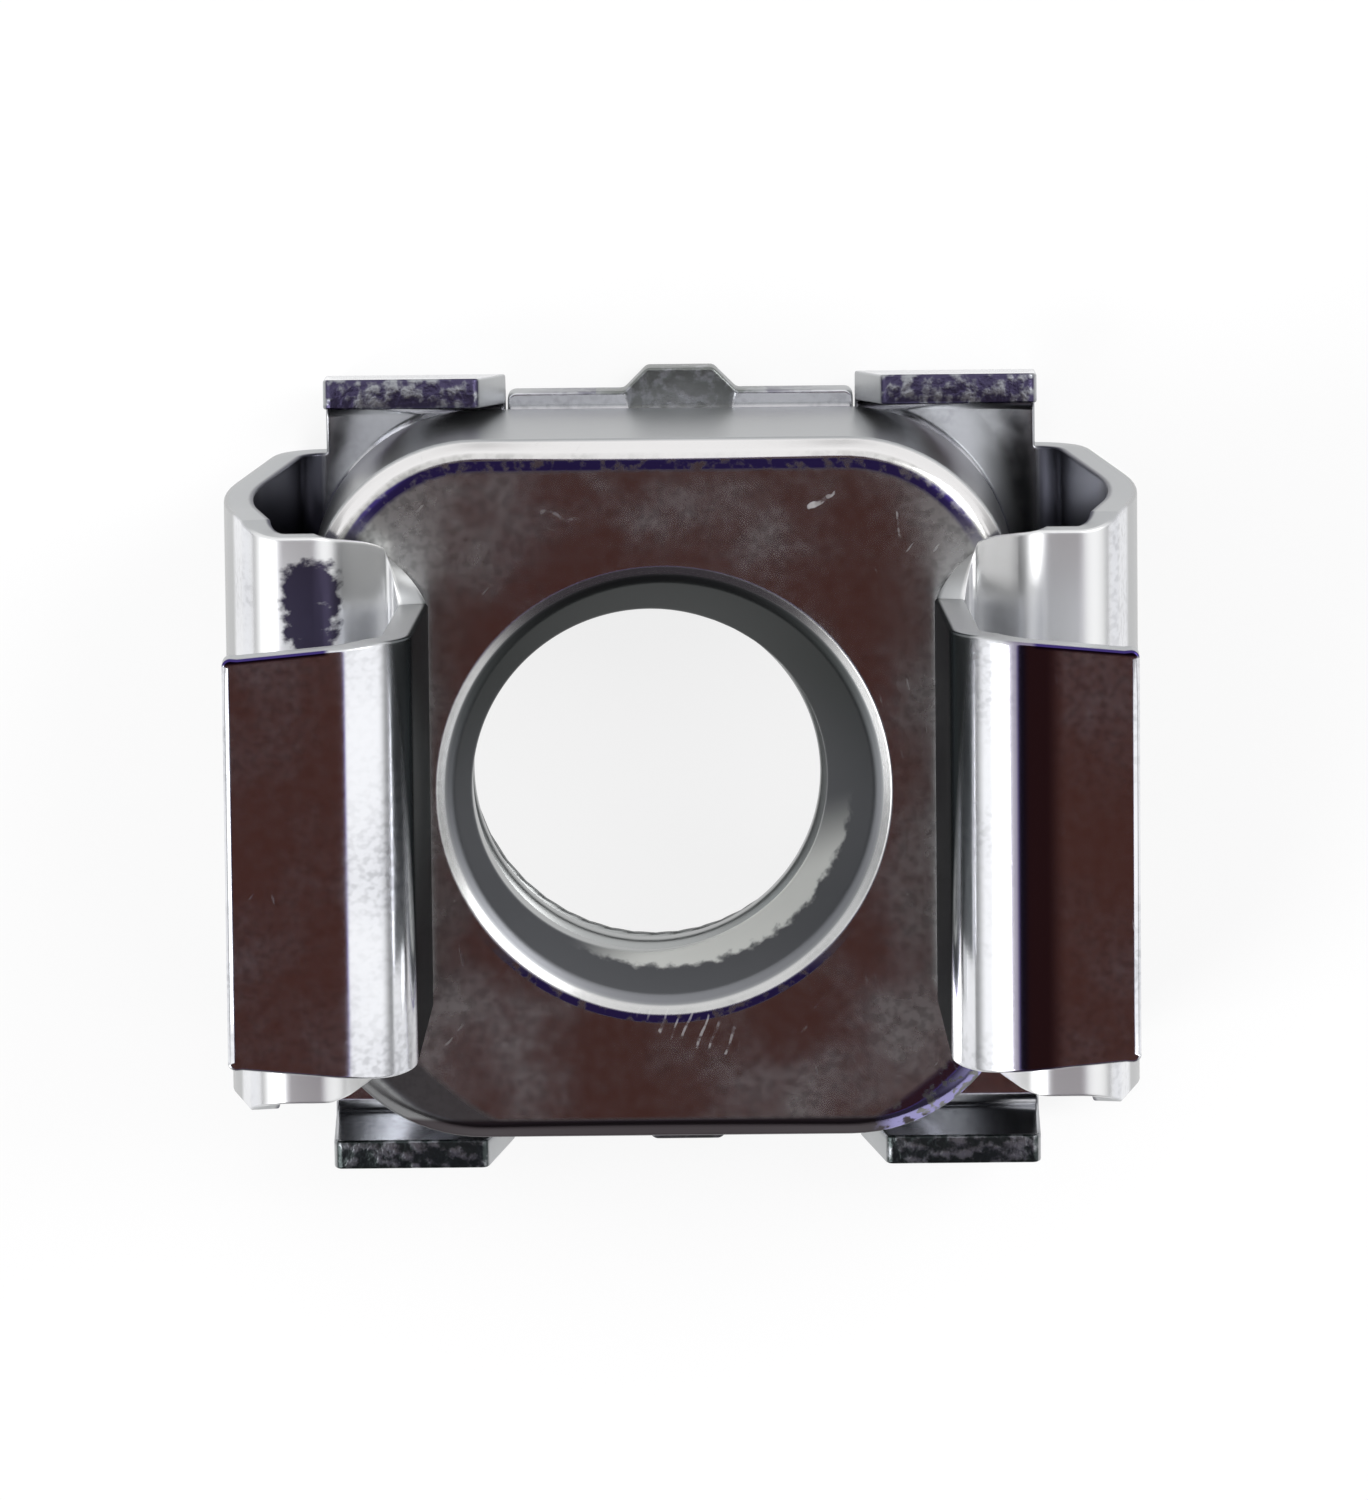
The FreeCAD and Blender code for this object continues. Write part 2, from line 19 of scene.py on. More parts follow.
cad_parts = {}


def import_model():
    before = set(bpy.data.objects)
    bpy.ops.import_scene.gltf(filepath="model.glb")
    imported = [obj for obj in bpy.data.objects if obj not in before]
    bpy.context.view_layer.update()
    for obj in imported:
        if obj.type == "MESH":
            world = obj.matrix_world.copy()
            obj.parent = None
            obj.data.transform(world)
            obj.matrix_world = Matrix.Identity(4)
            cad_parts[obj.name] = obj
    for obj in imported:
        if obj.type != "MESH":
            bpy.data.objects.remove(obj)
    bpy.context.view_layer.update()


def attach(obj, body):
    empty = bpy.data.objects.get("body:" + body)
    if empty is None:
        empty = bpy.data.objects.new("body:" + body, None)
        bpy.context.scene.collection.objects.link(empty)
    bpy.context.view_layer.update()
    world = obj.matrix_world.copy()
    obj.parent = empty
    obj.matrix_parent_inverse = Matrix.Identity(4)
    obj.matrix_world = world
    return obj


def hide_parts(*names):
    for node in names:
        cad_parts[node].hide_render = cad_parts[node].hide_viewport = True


LOG = logging.getLogger("cage_nut")
MM = 0.001
MICRON = 0.000001
MIDDLE = 0.5
MERGE = 0.000001
FLAT = "flat_place"
CUT = "cut_edge"
BORE = "bore_wall"
CONE = "entry_cone"
TORN = "torn_end"
LINE = "face_line"

Point = tuple[float, float]
Colour = tuple[float, float, float]


class Turn(Enum):
    """Which way a strip turns at a bend, seen with its walk going to the right."""

    LEFT = 1
    RIGHT = -1


class NodeGraph:
    """Adds nodes to one tree and links them."""

    def __init__(self, tree: bpy.types.NodeTree) -> None:
        """Keeps the tree.

        Args:
            tree: The shader or geometry tree to fill.
        """
        self.tree = tree

    def feed(self, socket: bpy.types.NodeSocket, value: object) -> None:
        """Links a socket to another one, or sets its own value.

        Args:
            socket: The input to fill.
            value: An output socket, or a plain value.
        """
        if isinstance(value, bpy.types.NodeSocket):
            self.tree.links.new(value, socket)
        else:
            socket.default_value = value

    def add(self, kind: str, feeds: dict | None = None, **settings: object) -> bpy.types.Node:
        """Adds a node.

        Args:
            kind: The node's type name.
            feeds: What goes into its inputs, by name or number.
            **settings: Properties of the node itself.

        Returns:
            The new node.
        """
        node = self.tree.nodes.new(kind)
        for name, value in settings.items():
            setattr(node, name, value)
        for name, value in (feeds or {}).items():
            self.feed(node.inputs[name], value)
        return node

    def math(self, operation: str, *values: object) -> bpy.types.NodeSocket:
        """Adds one Math node.

        Args:
            operation: The node's operation.
            *values: Its inputs, in order.

        Returns:
            The node's result.
        """
        return self.add("ShaderNodeMath", dict(enumerate(values)), operation=operation).outputs[0]

    def product(self, *values: object) -> object:
        """Multiplies values with each other, as masks are combined.

        Args:
            *values: Two or more of them.

        Returns:
            Their product.
        """
        result = values[0]
        for value in values[1:]:
            result = self.math("MULTIPLY", result, value)
        return result

    def squares(self, first: object, second: object) -> bpy.types.NodeSocket:
        """The sum of the squares of two values."""
        return self.math("ADD", self.product(first, first), self.product(second, second))

    def ramp(
        self, value: object, low: object, high: object, first: float = 0.0, last: float = 1.0
    ) -> bpy.types.NodeSocket:
        """Maps a value smoothly from one range to another, and holds it at both ends.

        Args:
            value: What is mapped.
            low: Start of the range that is read.
            high: End of the range that is read.
            first: Result at the start.
            last: Result at the end.

        Returns:
            The mapped value.
        """
        feeds = {0: value, 1: low, 2: high, 3: first, 4: last}
        return self.add("ShaderNodeMapRange", feeds, interpolation_type="SMOOTHSTEP").outputs[0]

    def span(
        self, value: object, limits: tuple[float, float], soft: float, shift: object = 0.0
    ) -> bpy.types.NodeSocket:
        """A mask that is 1 between two limits.

        Args:
            value: What is compared.
            limits: The two limits.
            soft: Width of the change at each of them.
            shift: How far the second limit is moved.

        Returns:
            The mask.
        """
        moved = self.math("SUBTRACT", value, shift)
        rise = self.ramp(value, limits[0], limits[0] + soft)
        return self.product(rise, self.ramp(moved, limits[1] - soft, limits[1], 1.0, 0.0))

    def blend(self, share: object, first: object, second: object) -> bpy.types.NodeSocket:
        """Mixes two colours.

        Args:
            share: How much of the second one, from 0 to 1.
            first: The first colour.
            second: The second colour.

        Returns:
            The mixed colour.
        """
        node = self.add("ShaderNodeMix", data_type="RGBA")
        for number, value in ((0, share), (6, first), (7, second)):
            opaque = (*value, 1.0) if isinstance(value, tuple) else value
            self.feed(node.inputs[number], opaque)
        return node.outputs[2]

    def noise(
        self, place: object, scale: float, detail: float, stretch: Colour = (1.0, 1.0, 1.0)
    ) -> bpy.types.NodeSocket:
        """Noise that may be drawn out along an axis.

        Args:
            place: The place in millimetres.
            scale: Features to the millimetre.
            detail: Levels of detail.
            stretch: Scale along each axis.

        Returns:
            The noise, about 0.5.
        """
        moved = self.add("ShaderNodeMapping", {"Vector": place, "Scale": stretch})
        feeds = {"Vector": moved.outputs[0], "Scale": scale, "Detail": detail}
        return self.add("ShaderNodeTexNoise", feeds).outputs[0]

    def turned(self, place: object, centre: Point, angle: float, size: Colour) -> bpy.types.NodeSocket:
        """The place as seen from a centre, turned and drawn in.

        Args:
            place: The place in millimetres.
            centre: The centre in X and Y.
            angle: The turn about Z, in degrees.
            size: How much each axis is drawn in.

        Returns:
            The new place.
        """
        feeds = {
            "Vector": place, "Location": (*centre, 0.0), "Rotation": (0.0, 0.0, math.radians(angle)),
            "Scale": size,
        }
        return self.add("ShaderNodeMapping", feeds, vector_type="TEXTURE").outputs[0]


@dataclass(frozen=True)
class Surface:
    """What a finish reads about the place it is on, as outputs of nodes, in millimetres."""

    graph: NodeGraph
    place: object
    x: object
    y: object
    z: object
    across: object
    speckle: object

    def mark(self, name: str) -> bpy.types.NodeSocket:
        """A mark from 0 to 1 that the mesh carries."""
        return self.graph.add("ShaderNodeAttribute", attribute_name=name).outputs["Fac"]

    def broken(self, limits: tuple[float, float], least: float = 0.0) -> bpy.types.NodeSocket:
        """The speckle as a mask that breaks another one up.

        Args:
            limits: Speckle below which the mask is least, and above which it is 1.
            least: The mask's lowest value.

        Returns:
            The mask.
        """
        return self.graph.ramp(self.speckle, *limits, least, 1.0)

    def shifted(self, value: object, amount: float) -> bpy.types.NodeSocket:
        """A value made uneven by the speckle.

        Args:
            value: The value.
            amount: How much the speckle, which runs from 0 to 1, changes it.

        Returns:
            The uneven value.
        """
        centred = self.graph.math("SUBTRACT", self.speckle, MIDDLE)
        return self.graph.math("MULTIPLY_ADD", centred, amount, value)


@dataclass(frozen=True)
class Zone:
    """A part of the surface that looks different: its mask, colour, roughness and edge reflection."""

    mask: object
    colour: object
    roughness: float
    tint: float = 1.0


@dataclass(frozen=True)
class Strokes:
    """A patch of short parallel strokes: its middle, half size, lean from the Y axis, gap and strength."""

    centre: Point
    size: Point
    lean: float
    gap: float
    strength: float
    unevenness: float = 9.0
    uneven_scale: float = 3.4
    uneven_stretch: Colour = (1.0, 0.3, 1.0)
    raggedness: float = 2.5
    sharpness: tuple[float, float] = (0.72, 0.95)
    fade: tuple[float, float] = (0.7, 1.0)

    def mask(self, on: Surface) -> bpy.types.NodeSocket:
        """Where the strokes are.

        Args:
            on: The surface.

        Returns:
            The strength on a stroke and 0 elsewhere.
        """
        graph = on.graph
        turned = graph.turned(on.place, self.centre, self.lean, (1.0, 1.0, 1.0))
        across, along, _ = graph.add("ShaderNodeSeparateXYZ", {0: turned}).outputs
        noise = graph.noise(on.place, self.uneven_scale, 1.0, self.uneven_stretch)
        uneven = graph.math("SUBTRACT", noise, MIDDLE)
        phase = graph.product(across, 2 * math.pi / self.gap)
        bent = graph.math("MULTIPLY_ADD", uneven, self.unevenness, phase)
        line = graph.ramp(graph.math("COSINE", bent), *self.sharpness)
        reach = graph.squares(
            graph.math("DIVIDE", across, self.size[0]), graph.math("DIVIDE", along, self.size[1])
        )
        ragged = graph.math("MULTIPLY_ADD", uneven, self.raggedness, reach)
        return graph.product(line, graph.ramp(ragged, *self.fade, 1.0, 0.0), self.strength)


@dataclass(frozen=True)
class ZincFinish:
    """Bright zinc plating: colour, gloss, cloudy haze, fine scratches and sheared edges."""

    name: str
    colour: Colour
    shade: Colour
    cut_colour: Colour
    gloss: float
    haze: float
    cut_roughness: float
    side_haze: float = 0.0
    side_span: tuple[float, float] = (2.4, 4.6)
    haze_scale: float = 0.55
    haze_limits: tuple[float, float] = (0.36, 0.78)
    haze_shares: tuple[float, float] = (0.05, 0.85)
    mottle_scale: float = 9.0
    mottle_limits: tuple[float, float] = (0.4, 0.7)
    mottle: float = 0.5
    mottle_darkness: float = 3.0
    speckle_scale: float = 6.0
    speckle_roughness: float = 0.08
    scratch_ways: tuple[tuple[float, float], ...] = ((52.0, 0.25), (-78.0, 0.3))
    scratch_width: float = 0.05
    scratch_limits: tuple[float, float] = (0.8, 0.85)
    scratch_patches: float = 0.7
    scratch_places: tuple[float, float] = (0.56, 0.7)
    scratch_roughness: float = 0.1
    least_roughness: float = 0.06
    grain_scale: float = 16.0
    grain_stretch: Colour = (0.35, 1.0, 1.0)
    wave_scale: float = 0.45
    wave_stretch: Colour = (1.0, 0.6, 1.0)
    grain_height: float = 0.16
    wave_height: float = 3.0
    cut_height: float = 3.0
    torn_height: float = 18.0
    scratch_height: float = 0.35

    def place(self, graph: NodeGraph) -> bpy.types.NodeSocket:
        """Where a point of the finished piece is, in millimetres."""
        source = graph.add("ShaderNodeTexCoord").outputs["Object"]
        return graph.add("ShaderNodeVectorMath", {0: source, "Scale": 1 / MM}, operation="SCALE").outputs[0]

    def zones(self, on: Surface) -> list[Zone]:
        """The parts of the surface that look different, which each kind of piece names.

        Args:
            on: The surface.

        Returns:
            The zones, the later ones on top.
        """
        return []

    def hazed(self, on: Surface, dull: object) -> object:
        """How dull the plating is, where a piece limits it.

        Args:
            on: The surface.
            dull: The dullness before the limit.

        Returns:
            The dullness.
        """
        return dull

    def surface(self, graph: NodeGraph) -> Surface:
        """Reads the place and the fine noise.

        Args:
            graph: The material's nodes.

        Returns:
            The surface.
        """
        place = self.place(graph)
        x, y, z = graph.add("ShaderNodeSeparateXYZ", {0: place}).outputs
        speckle = graph.noise(place, self.speckle_scale, 3.0)
        return Surface(graph, place, x, y, z, graph.math("ABSOLUTE", x), speckle)

    def scratches(self, on: Surface) -> bpy.types.NodeSocket:
        """Thin scratches that run two ways.

        Args:
            on: The surface.

        Returns:
            1 on a scratch and 0 elsewhere.
        """
        graph = on.graph
        found = []
        for turn, length in self.scratch_ways:
            drawn = graph.turned(on.place, (0.0, 0.0), turn, (length, self.scratch_width, 1.0))
            line = graph.ramp(graph.noise(drawn, 1.0, 0.0), *self.scratch_limits)
            moved = graph.add("ShaderNodeMapping", {"Vector": on.place, "Location": (turn, 3.0, 1.0)})
            patch = graph.noise(moved.outputs[0], self.scratch_patches, 1.0)
            found.append(graph.product(line, graph.ramp(patch, *self.scratch_places)))
        return graph.math("MAXIMUM", *found)

    def dullness(self, on: Surface) -> object:
        """Cloudy haze, which is denser beside the middle.

        Args:
            on: The surface.

        Returns:
            0 on bright plating and 1 on dull plating.
        """
        graph = on.graph
        clouds = graph.noise(on.place, self.haze_scale, 5.0)
        cloudy = graph.ramp(clouds, *self.haze_limits, *self.haze_shares)
        beside = graph.ramp(on.across, *self.side_span, 0.0, self.side_haze)
        dull = graph.math("MULTIPLY_ADD", beside, graph.math("SUBTRACT", 1.0, cloudy), cloudy)
        return self.hazed(on, dull)

    def plating(self, on: Surface, dull: object) -> bpy.types.NodeSocket:
        """The plating's colour, mottled where it is dull.

        Args:
            on: The surface.
            dull: The dullness.

        Returns:
            The colour.
        """
        graph = on.graph
        clean = graph.blend(dull, self.colour, self.shade)
        spots = graph.noise(on.place, self.mottle_scale, 1.0)
        spotted = graph.product(dull, graph.ramp(spots, *self.mottle_limits, 0.0, self.mottle))
        return graph.blend(spotted, clean, tuple(part / self.mottle_darkness for part in self.shade))

    def relief(self, on: Surface, cut: object, scratch: object) -> bpy.types.NodeSocket:
        """Waves, grain, torn and sheared roughness and scratches, as a bumped normal.

        Args:
            on: The surface.
            cut: Mask of the sheared edges.
            scratch: Mask of the scratches.

        Returns:
            The normal.
        """
        graph = on.graph
        layers = (
            (graph.noise(on.place, self.wave_scale, 1.0, self.wave_stretch), self.wave_height),
            (graph.noise(on.place, self.grain_scale, 2.0, self.grain_stretch), self.grain_height),
            (graph.product(on.speckle, cut), self.cut_height),
            (graph.product(on.speckle, on.mark(TORN)), self.torn_height),
            (scratch, -self.scratch_height),
        )
        height = 0.0
        for layer, microns in layers:
            height = graph.math("MULTIPLY_ADD", layer, microns * MICRON, height)
        feeds = {"Strength": 1.0, "Distance": 1.0, "Height": height}
        return graph.add("ShaderNodeBump", feeds).outputs["Normal"]

    def build(self) -> bpy.types.Material:
        """Makes the material.

        Returns:
            The finished material.
        """
        material = bpy.data.materials.new(self.name)
        material.use_nodes = True
        graph = NodeGraph(material.node_tree)
        shader = material.node_tree.nodes["Principled BSDF"]
        on = self.surface(graph)
        cut, scratch, dull = on.mark(CUT), self.scratches(on), self.dullness(on)

        colour = self.plating(on, dull)
        haze = graph.math("MULTIPLY_ADD", dull, self.haze - self.gloss, self.gloss)
        flecked = on.shifted(haze, self.speckle_roughness)
        rough = graph.math("MULTIPLY_ADD", scratch, self.scratch_roughness, flecked)
        tint: object = (1.0, 1.0, 1.0)
        for zone in [Zone(cut, self.cut_colour, self.cut_roughness), *self.zones(on)]:
            colour = graph.blend(zone.mask, colour, zone.colour)
            kept = graph.product(rough, graph.math("SUBTRACT", 1.0, zone.mask))
            rough = graph.math("MULTIPLY_ADD", zone.mask, zone.roughness, kept)
            if zone.tint < 1.0:
                tint = graph.blend(zone.mask, tint, (zone.tint, zone.tint, zone.tint))
                graph.feed(shader.inputs["Specular Tint"], tint)
        graph.feed(shader.inputs["Base Color"], colour)
        graph.feed(shader.inputs["Roughness"], graph.math("MAXIMUM", rough, self.least_roughness))
        graph.feed(shader.inputs["Normal"], self.relief(on, cut, scratch))
        shader.inputs["Metallic"].default_value = 1.0
        return material


@dataclass(frozen=True)
class CageZinc(ZincFinish):
    """The cage's plating, with its dull and dark parts placed on the flat blank, much of the dark being
    painted shade and painted reflection.
    """

    sheet_face: float = 0.12
    face_soft: float = 0.06
    soft: float = 0.3
    # Painted shade: the inner faces of the wings, and a quarter as much on the tabs, are coloured dark as if
    # shadowed by the nut.
    inner_shade_colour: Colour = (0.10, 0.10, 0.125)
    inner_roughness: float = 0.3
    inner_span: tuple[float, float] = (4.9, 12.2)
    tab_share: float = 0.25
    tab_side: float = 2.45
    tab_rise: tuple[float, float] = (4.95, 5.1)
    # Outer walls: a duller roughness, and painted shade in their colour that stands in for darker
    # surroundings in their reflection.
    wall_shade_colour: Colour = (0.37, 0.375, 0.38)
    wall_roughness: float = 0.26
    wall_span: tuple[float, float] = (5.3, 9.7)
    crest_colour: Colour = (0.74, 0.745, 0.75)
    crest_roughness: float = 0.36
    crest_span: tuple[float, float] = (10.25, 13.3)
    crest_soft: float = 0.2
    dark_patch_colour: Colour = (0.035, 0.028, 0.06)
    dark_patch_place: Point = (-11.0, 3.05)
    dark_patch_size: Point = (0.34, 0.68)
    dark_patch_raggedness: float = 2.4
    dark_patch_fade: tuple[float, float] = (0.6, 1.3)
    dark_patch_share: float = 0.98
    # Painted shade at the wing's foot, where it meets the nut: a dark colour and a low edge tint.
    foot_shade_colour: Colour = (0.16, 0.17, 0.175)
    foot_roughness: float = 0.3
    foot_span: tuple[float, float] = (13.0, 17.0)
    foot_soft: float = 0.22
    foot_slant: float = 0.12
    foot_shade_tint: float = 0.1
    border_colour: Colour = (0.045, 0.03, 0.15)
    border_start: Point = (17.95, 2.9)
    border_slope: float = 0.093
    border_soft: Point = (0.1, 0.05)
    # Painted reflection: a dark violet band where the neck bend meets the lip.
    band_reflection_colour: Colour = (0.22, 0.195, 0.27)
    band_span: tuple[float, float] = (17.55, 18.45)
    # Painted shade: the torn ends are coloured near black, and the nibs dark grey, as they look when facing
    # dark surroundings.
    torn_shade_colour: Colour = (0.06, 0.052, 0.10)
    torn_front_shade_colour: Colour = (0.05, 0.06, 0.06)
    torn_fleck: Colour = (0.3, 0.31, 0.33)
    torn_flecks: tuple[float, float] = (0.46, 0.68)
    torn_roughness: float = 0.3
    nib_shade_colour: Colour = (0.16, 0.17, 0.165)
    nib_half: float = 1.2

    def place(self, graph: NodeGraph) -> bpy.types.NodeSocket:
        """Where a point lies on the flat blank, in millimetres."""
        return graph.add("ShaderNodeAttribute", attribute_name=FLAT).outputs["Vector"]

    def dark_patch(self, on: Surface) -> bpy.types.NodeSocket:
        """A dark patch on one wing's crest.

        Args:
            on: The surface.

        Returns:
            Its mask.
        """
        graph = on.graph
        aside, along = (
            graph.math("DIVIDE", graph.math("SUBTRACT", value, middle), half)
            for value, middle, half in zip((on.x, on.y), self.dark_patch_place, self.dark_patch_size)
        )
        reach = graph.math("ADD", graph.product(aside, aside), graph.math("POWER", along, 4.0))
        uneven = on.shifted(reach, self.dark_patch_raggedness)
        return graph.ramp(uneven, *self.dark_patch_fade, self.dark_patch_share, 0.0)

    def lip_border(self, on: Surface) -> bpy.types.NodeSocket:
        """The dark line along the lips' rear edges.

        Args:
            on: The surface.

        Returns:
            Its mask.
        """
        graph = on.graph
        first, border = self.border_start
        along, beside = self.border_soft
        past = graph.math("SUBTRACT", on.across, first)
        level = graph.math("MULTIPLY_ADD", past, self.border_slope, on.y)
        on_lip = graph.ramp(on.across, first, first + along)
        return graph.product(graph.ramp(level, border, border + beside), on_lip)

    def torn_end(self, on: Surface) -> bpy.types.NodeSocket:
        """The flecked colour of the torn ends, which is painted shade, near black, and differs between the
        rear, the front and the nibs.

        Args:
            on: The surface.

        Returns:
            The colour.
        """
        graph = on.graph
        in_front = graph.math("LESS_THAN", on.y, 0.0)
        on_nib = graph.math("LESS_THAN", on.across, self.nib_half)
        dark = graph.blend(in_front, self.torn_shade_colour, self.torn_front_shade_colour)
        dark = graph.blend(on_nib, dark, self.nib_shade_colour)
        return graph.blend(on.broken(self.torn_flecks), dark, self.torn_fleck)

    def zones(self, on: Surface) -> list[Zone]:
        """The cage's dull and dark parts, most of the dark ones painted shade and painted reflection.

        Args:
            on: The surface.

        Returns:
            The zones, the later ones on top.
        """
        graph = on.graph
        upper = graph.ramp(on.z, self.sheet_face, self.sheet_face + self.face_soft)
        lower = graph.ramp(on.z, -self.sheet_face - self.face_soft, -self.sheet_face, 1.0, 0.0)
        on_wing = graph.span(on.across, self.inner_span, self.soft)
        risen = graph.ramp(graph.math("ABSOLUTE", on.y), *self.tab_rise, 0.0, self.tab_share)
        on_tab = graph.product(risen, graph.math("GREATER_THAN", on.across, self.tab_side))
        # Painted shade on the inner faces of the wings, and partly on the tabs' inner faces.
        inner = graph.product(graph.math("MAXIMUM", on_wing, on_tab), upper)
        # Painted shade, with a duller roughness, on the outer walls.
        wall = graph.product(graph.span(on.across, self.wall_span, self.soft), lower)
        crest = graph.product(graph.span(on.across, self.crest_span, self.crest_soft), lower)
        # Painted shade along the wing's foot, slanted along Y.
        slant = graph.product(on.y, self.foot_slant)
        foot = graph.product(graph.span(on.across, self.foot_span, self.foot_soft, slant), upper)
        # Painted reflection: the dark violet band at the lip's root.
        reflection_band = graph.product(graph.span(on.x, self.band_span, self.soft), upper)
        return [
            Zone(reflection_band, self.band_reflection_colour, self.gloss),
            Zone(graph.product(self.lip_border(on), upper), self.border_colour, self.gloss),
            Zone(wall, self.wall_shade_colour, self.wall_roughness),
            Zone(inner, self.inner_shade_colour, self.inner_roughness),
            Zone(crest, self.crest_colour, self.crest_roughness),
            Zone(graph.product(self.dark_patch(on), lower), self.dark_patch_colour, self.crest_roughness),
            Zone(foot, self.foot_shade_colour, self.foot_roughness, self.foot_shade_tint),
            # Torn ends: a really rough torn surface, with painted shade for its colour.
            Zone(on.mark(TORN), self.torn_end(on), self.torn_roughness),
        ]


@dataclass(frozen=True)
class NutZinc(ZincFinish):
    """The nut's plating: a hazed face with worn scratches, painted shade and a painted highlight at its front
    edges, and the bore with its two entry cones.
    """

    face_level: float = 3.61
    face_soft: float = 0.05
    middle: Point = (-0.27, 0.07)
    line_colour: Colour = (0.05, 0.035, 0.16)
    line_roughness: float = 0.3
    line_breaks: tuple[float, float] = (0.3, 0.5)
    rear_line: tuple[float, float] = (3.2, 4.2)
    rear_least: float = 0.4
    rim_line: tuple[float, float] = (3.2, 3.35)
    rim_soft: float = 0.03
    rim_fade: tuple[float, float] = (-2.6, -1.8)
    rim_least: float = 0.3
    # Painted shade on the front corners' chamfers and along the front edge's chamfer.
    corner_shade_colour: Colour = (0.09, 0.095, 0.10)
    corner_shade_share: float = 0.8
    corner_reach: tuple[float, float] = (5.3, 5.42)
    corner_front: tuple[float, float] = (-3.3, -2.9)
    corner_level: tuple[float, float] = (3.32, 3.37)
    edge_shade_colour: Colour = (0.05, 0.04, 0.045)
    edge_shade_y: tuple[float, float] = (-4.68, -4.6)
    edge_shade_level: tuple[float, float] = (3.38, 3.42)
    # Painted highlight: a pale violet patch on one front corner's chamfer.
    highlight_colour: Colour = (0.30, 0.28, 0.52)
    highlight_side: tuple[float, float] = (2.6, 3.0)
    highlight_breaks: tuple[float, float] = (0.4, 0.5)
    stroke_colour: Colour = (0.8, 0.8, 0.78)
    stroke_roughness: float = 0.5
    stroke_breaks: tuple[float, float] = (0.38, 0.6)
    stroke_least: float = 0.2
    strokes: tuple[Strokes, ...] = (
        Strokes((0.05, -3.32), (0.8, 0.27), -20.0, 0.19, 0.5),
        Strokes((1.95, 4.2), (0.14, 0.24), -50.0, 0.3, 0.75),
        Strokes((3.1, 3.8), (0.14, 0.24), 20.0, 0.3, 0.4),
        Strokes((-1.7, 4.0), (0.2, 0.3), 75.0, 0.26, 0.25),
    )
    bore_colour: Colour = (0.36, 0.37, 0.37)
    bore_roughness: float = 0.32
    cone_colour: Colour = (0.2, 0.205, 0.22)
    # Painted shade on the rear half of the entry cone.
    cone_shade_colour: Colour = (0.06, 0.065, 0.065)
    cone_roughness: float = 0.4
    shaded_side: tuple[float, float] = (-1.0, 2.0)
    worn_colour: Colour = (0.92, 0.93, 0.90)
    worn_roughness: float = 0.55
    worn_bearing: float = -62.0
    worn_side: tuple[float, float] = (1.1, 2.0)
    worn_depth: tuple[float, float] = (2.96, 3.08)
    worn_raggedness: float = 0.3

    def on_face(self, on: Surface) -> bpy.types.NodeSocket:
        """Mask of the nut's front face, without its chamfers."""
        return on.graph.ramp(on.z, self.face_level - self.face_soft, self.face_level)

    def hazed(self, on: Surface, dull: object) -> object:
        """How dull the plating is, which is bright past the face's edges.

        Args:
            on: The surface.
            dull: The dullness before the limit.

        Returns:
            The dullness.
        """
        return on.graph.product(dull, self.on_face(on))

    def lines(self, on: Surface) -> list[Zone]:
        """The thin dark lines along the rear of the face and in front of the bore.

        Args:
            on: The surface.

        Returns:
            Their zones.
        """
        graph = on.graph
        aside, along = (
            graph.math("SUBTRACT", value, middle) for value, middle in zip((on.x, on.y), self.middle)
        )
        reach = graph.math("SQRT", graph.squares(aside, along))
        below = graph.ramp(on.y, *self.rim_fade, 1.0, 0.0)
        at_rim = graph.product(
            graph.span(reach, self.rim_line, self.rim_soft), below,
            on.broken(self.line_breaks, self.rim_least), self.on_face(on),
        )
        at_rear = graph.product(
            on.mark(LINE), graph.ramp(on.y, *self.rear_line), on.broken(self.line_breaks, self.rear_least)
        )
        return [Zone(mask, self.line_colour, self.line_roughness) for mask in (at_rim, at_rear)]

    def corners(self, on: Surface) -> list[Zone]:
        """The front edge and front corners, darkened by painted shade, one corner with a painted violet
        highlight.

        Args:
            on: The surface.

        Returns:
            Their zones.
        """
        graph = on.graph
        reach = graph.math("SQRT", graph.squares(on.x, on.y))
        # Painted shade on the front corners and along the front edge.
        corner = graph.product(
            graph.ramp(reach, *self.corner_reach), graph.ramp(on.y, *self.corner_front, 1.0, 0.0),
            graph.ramp(on.z, *self.corner_level),
        )
        edge_shade = graph.product(
            graph.ramp(on.y, *self.edge_shade_y, 1.0, 0.0), graph.ramp(on.z, *self.edge_shade_level)
        )
        # Painted highlight on one front corner, broken up by the speckle.
        highlight = graph.product(
            corner, graph.ramp(on.x, *self.highlight_side), on.broken(self.highlight_breaks)
        )
        return [
            Zone(graph.product(corner, self.corner_shade_share), self.corner_shade_colour, self.line_roughness),
            Zone(edge_shade, self.edge_shade_colour, self.line_roughness),
            Zone(highlight, self.highlight_colour, self.gloss),
        ]

    def bore(self, on: Surface) -> list[Zone]:
        """The bore's wall and its entry cone, whose rear half is painted shade and which is worn bright on
        one side.

        Args:
            on: The surface.

        Returns:
            Their zones.
        """
        graph = on.graph
        wall, cone = on.mark(BORE), on.mark(CONE)
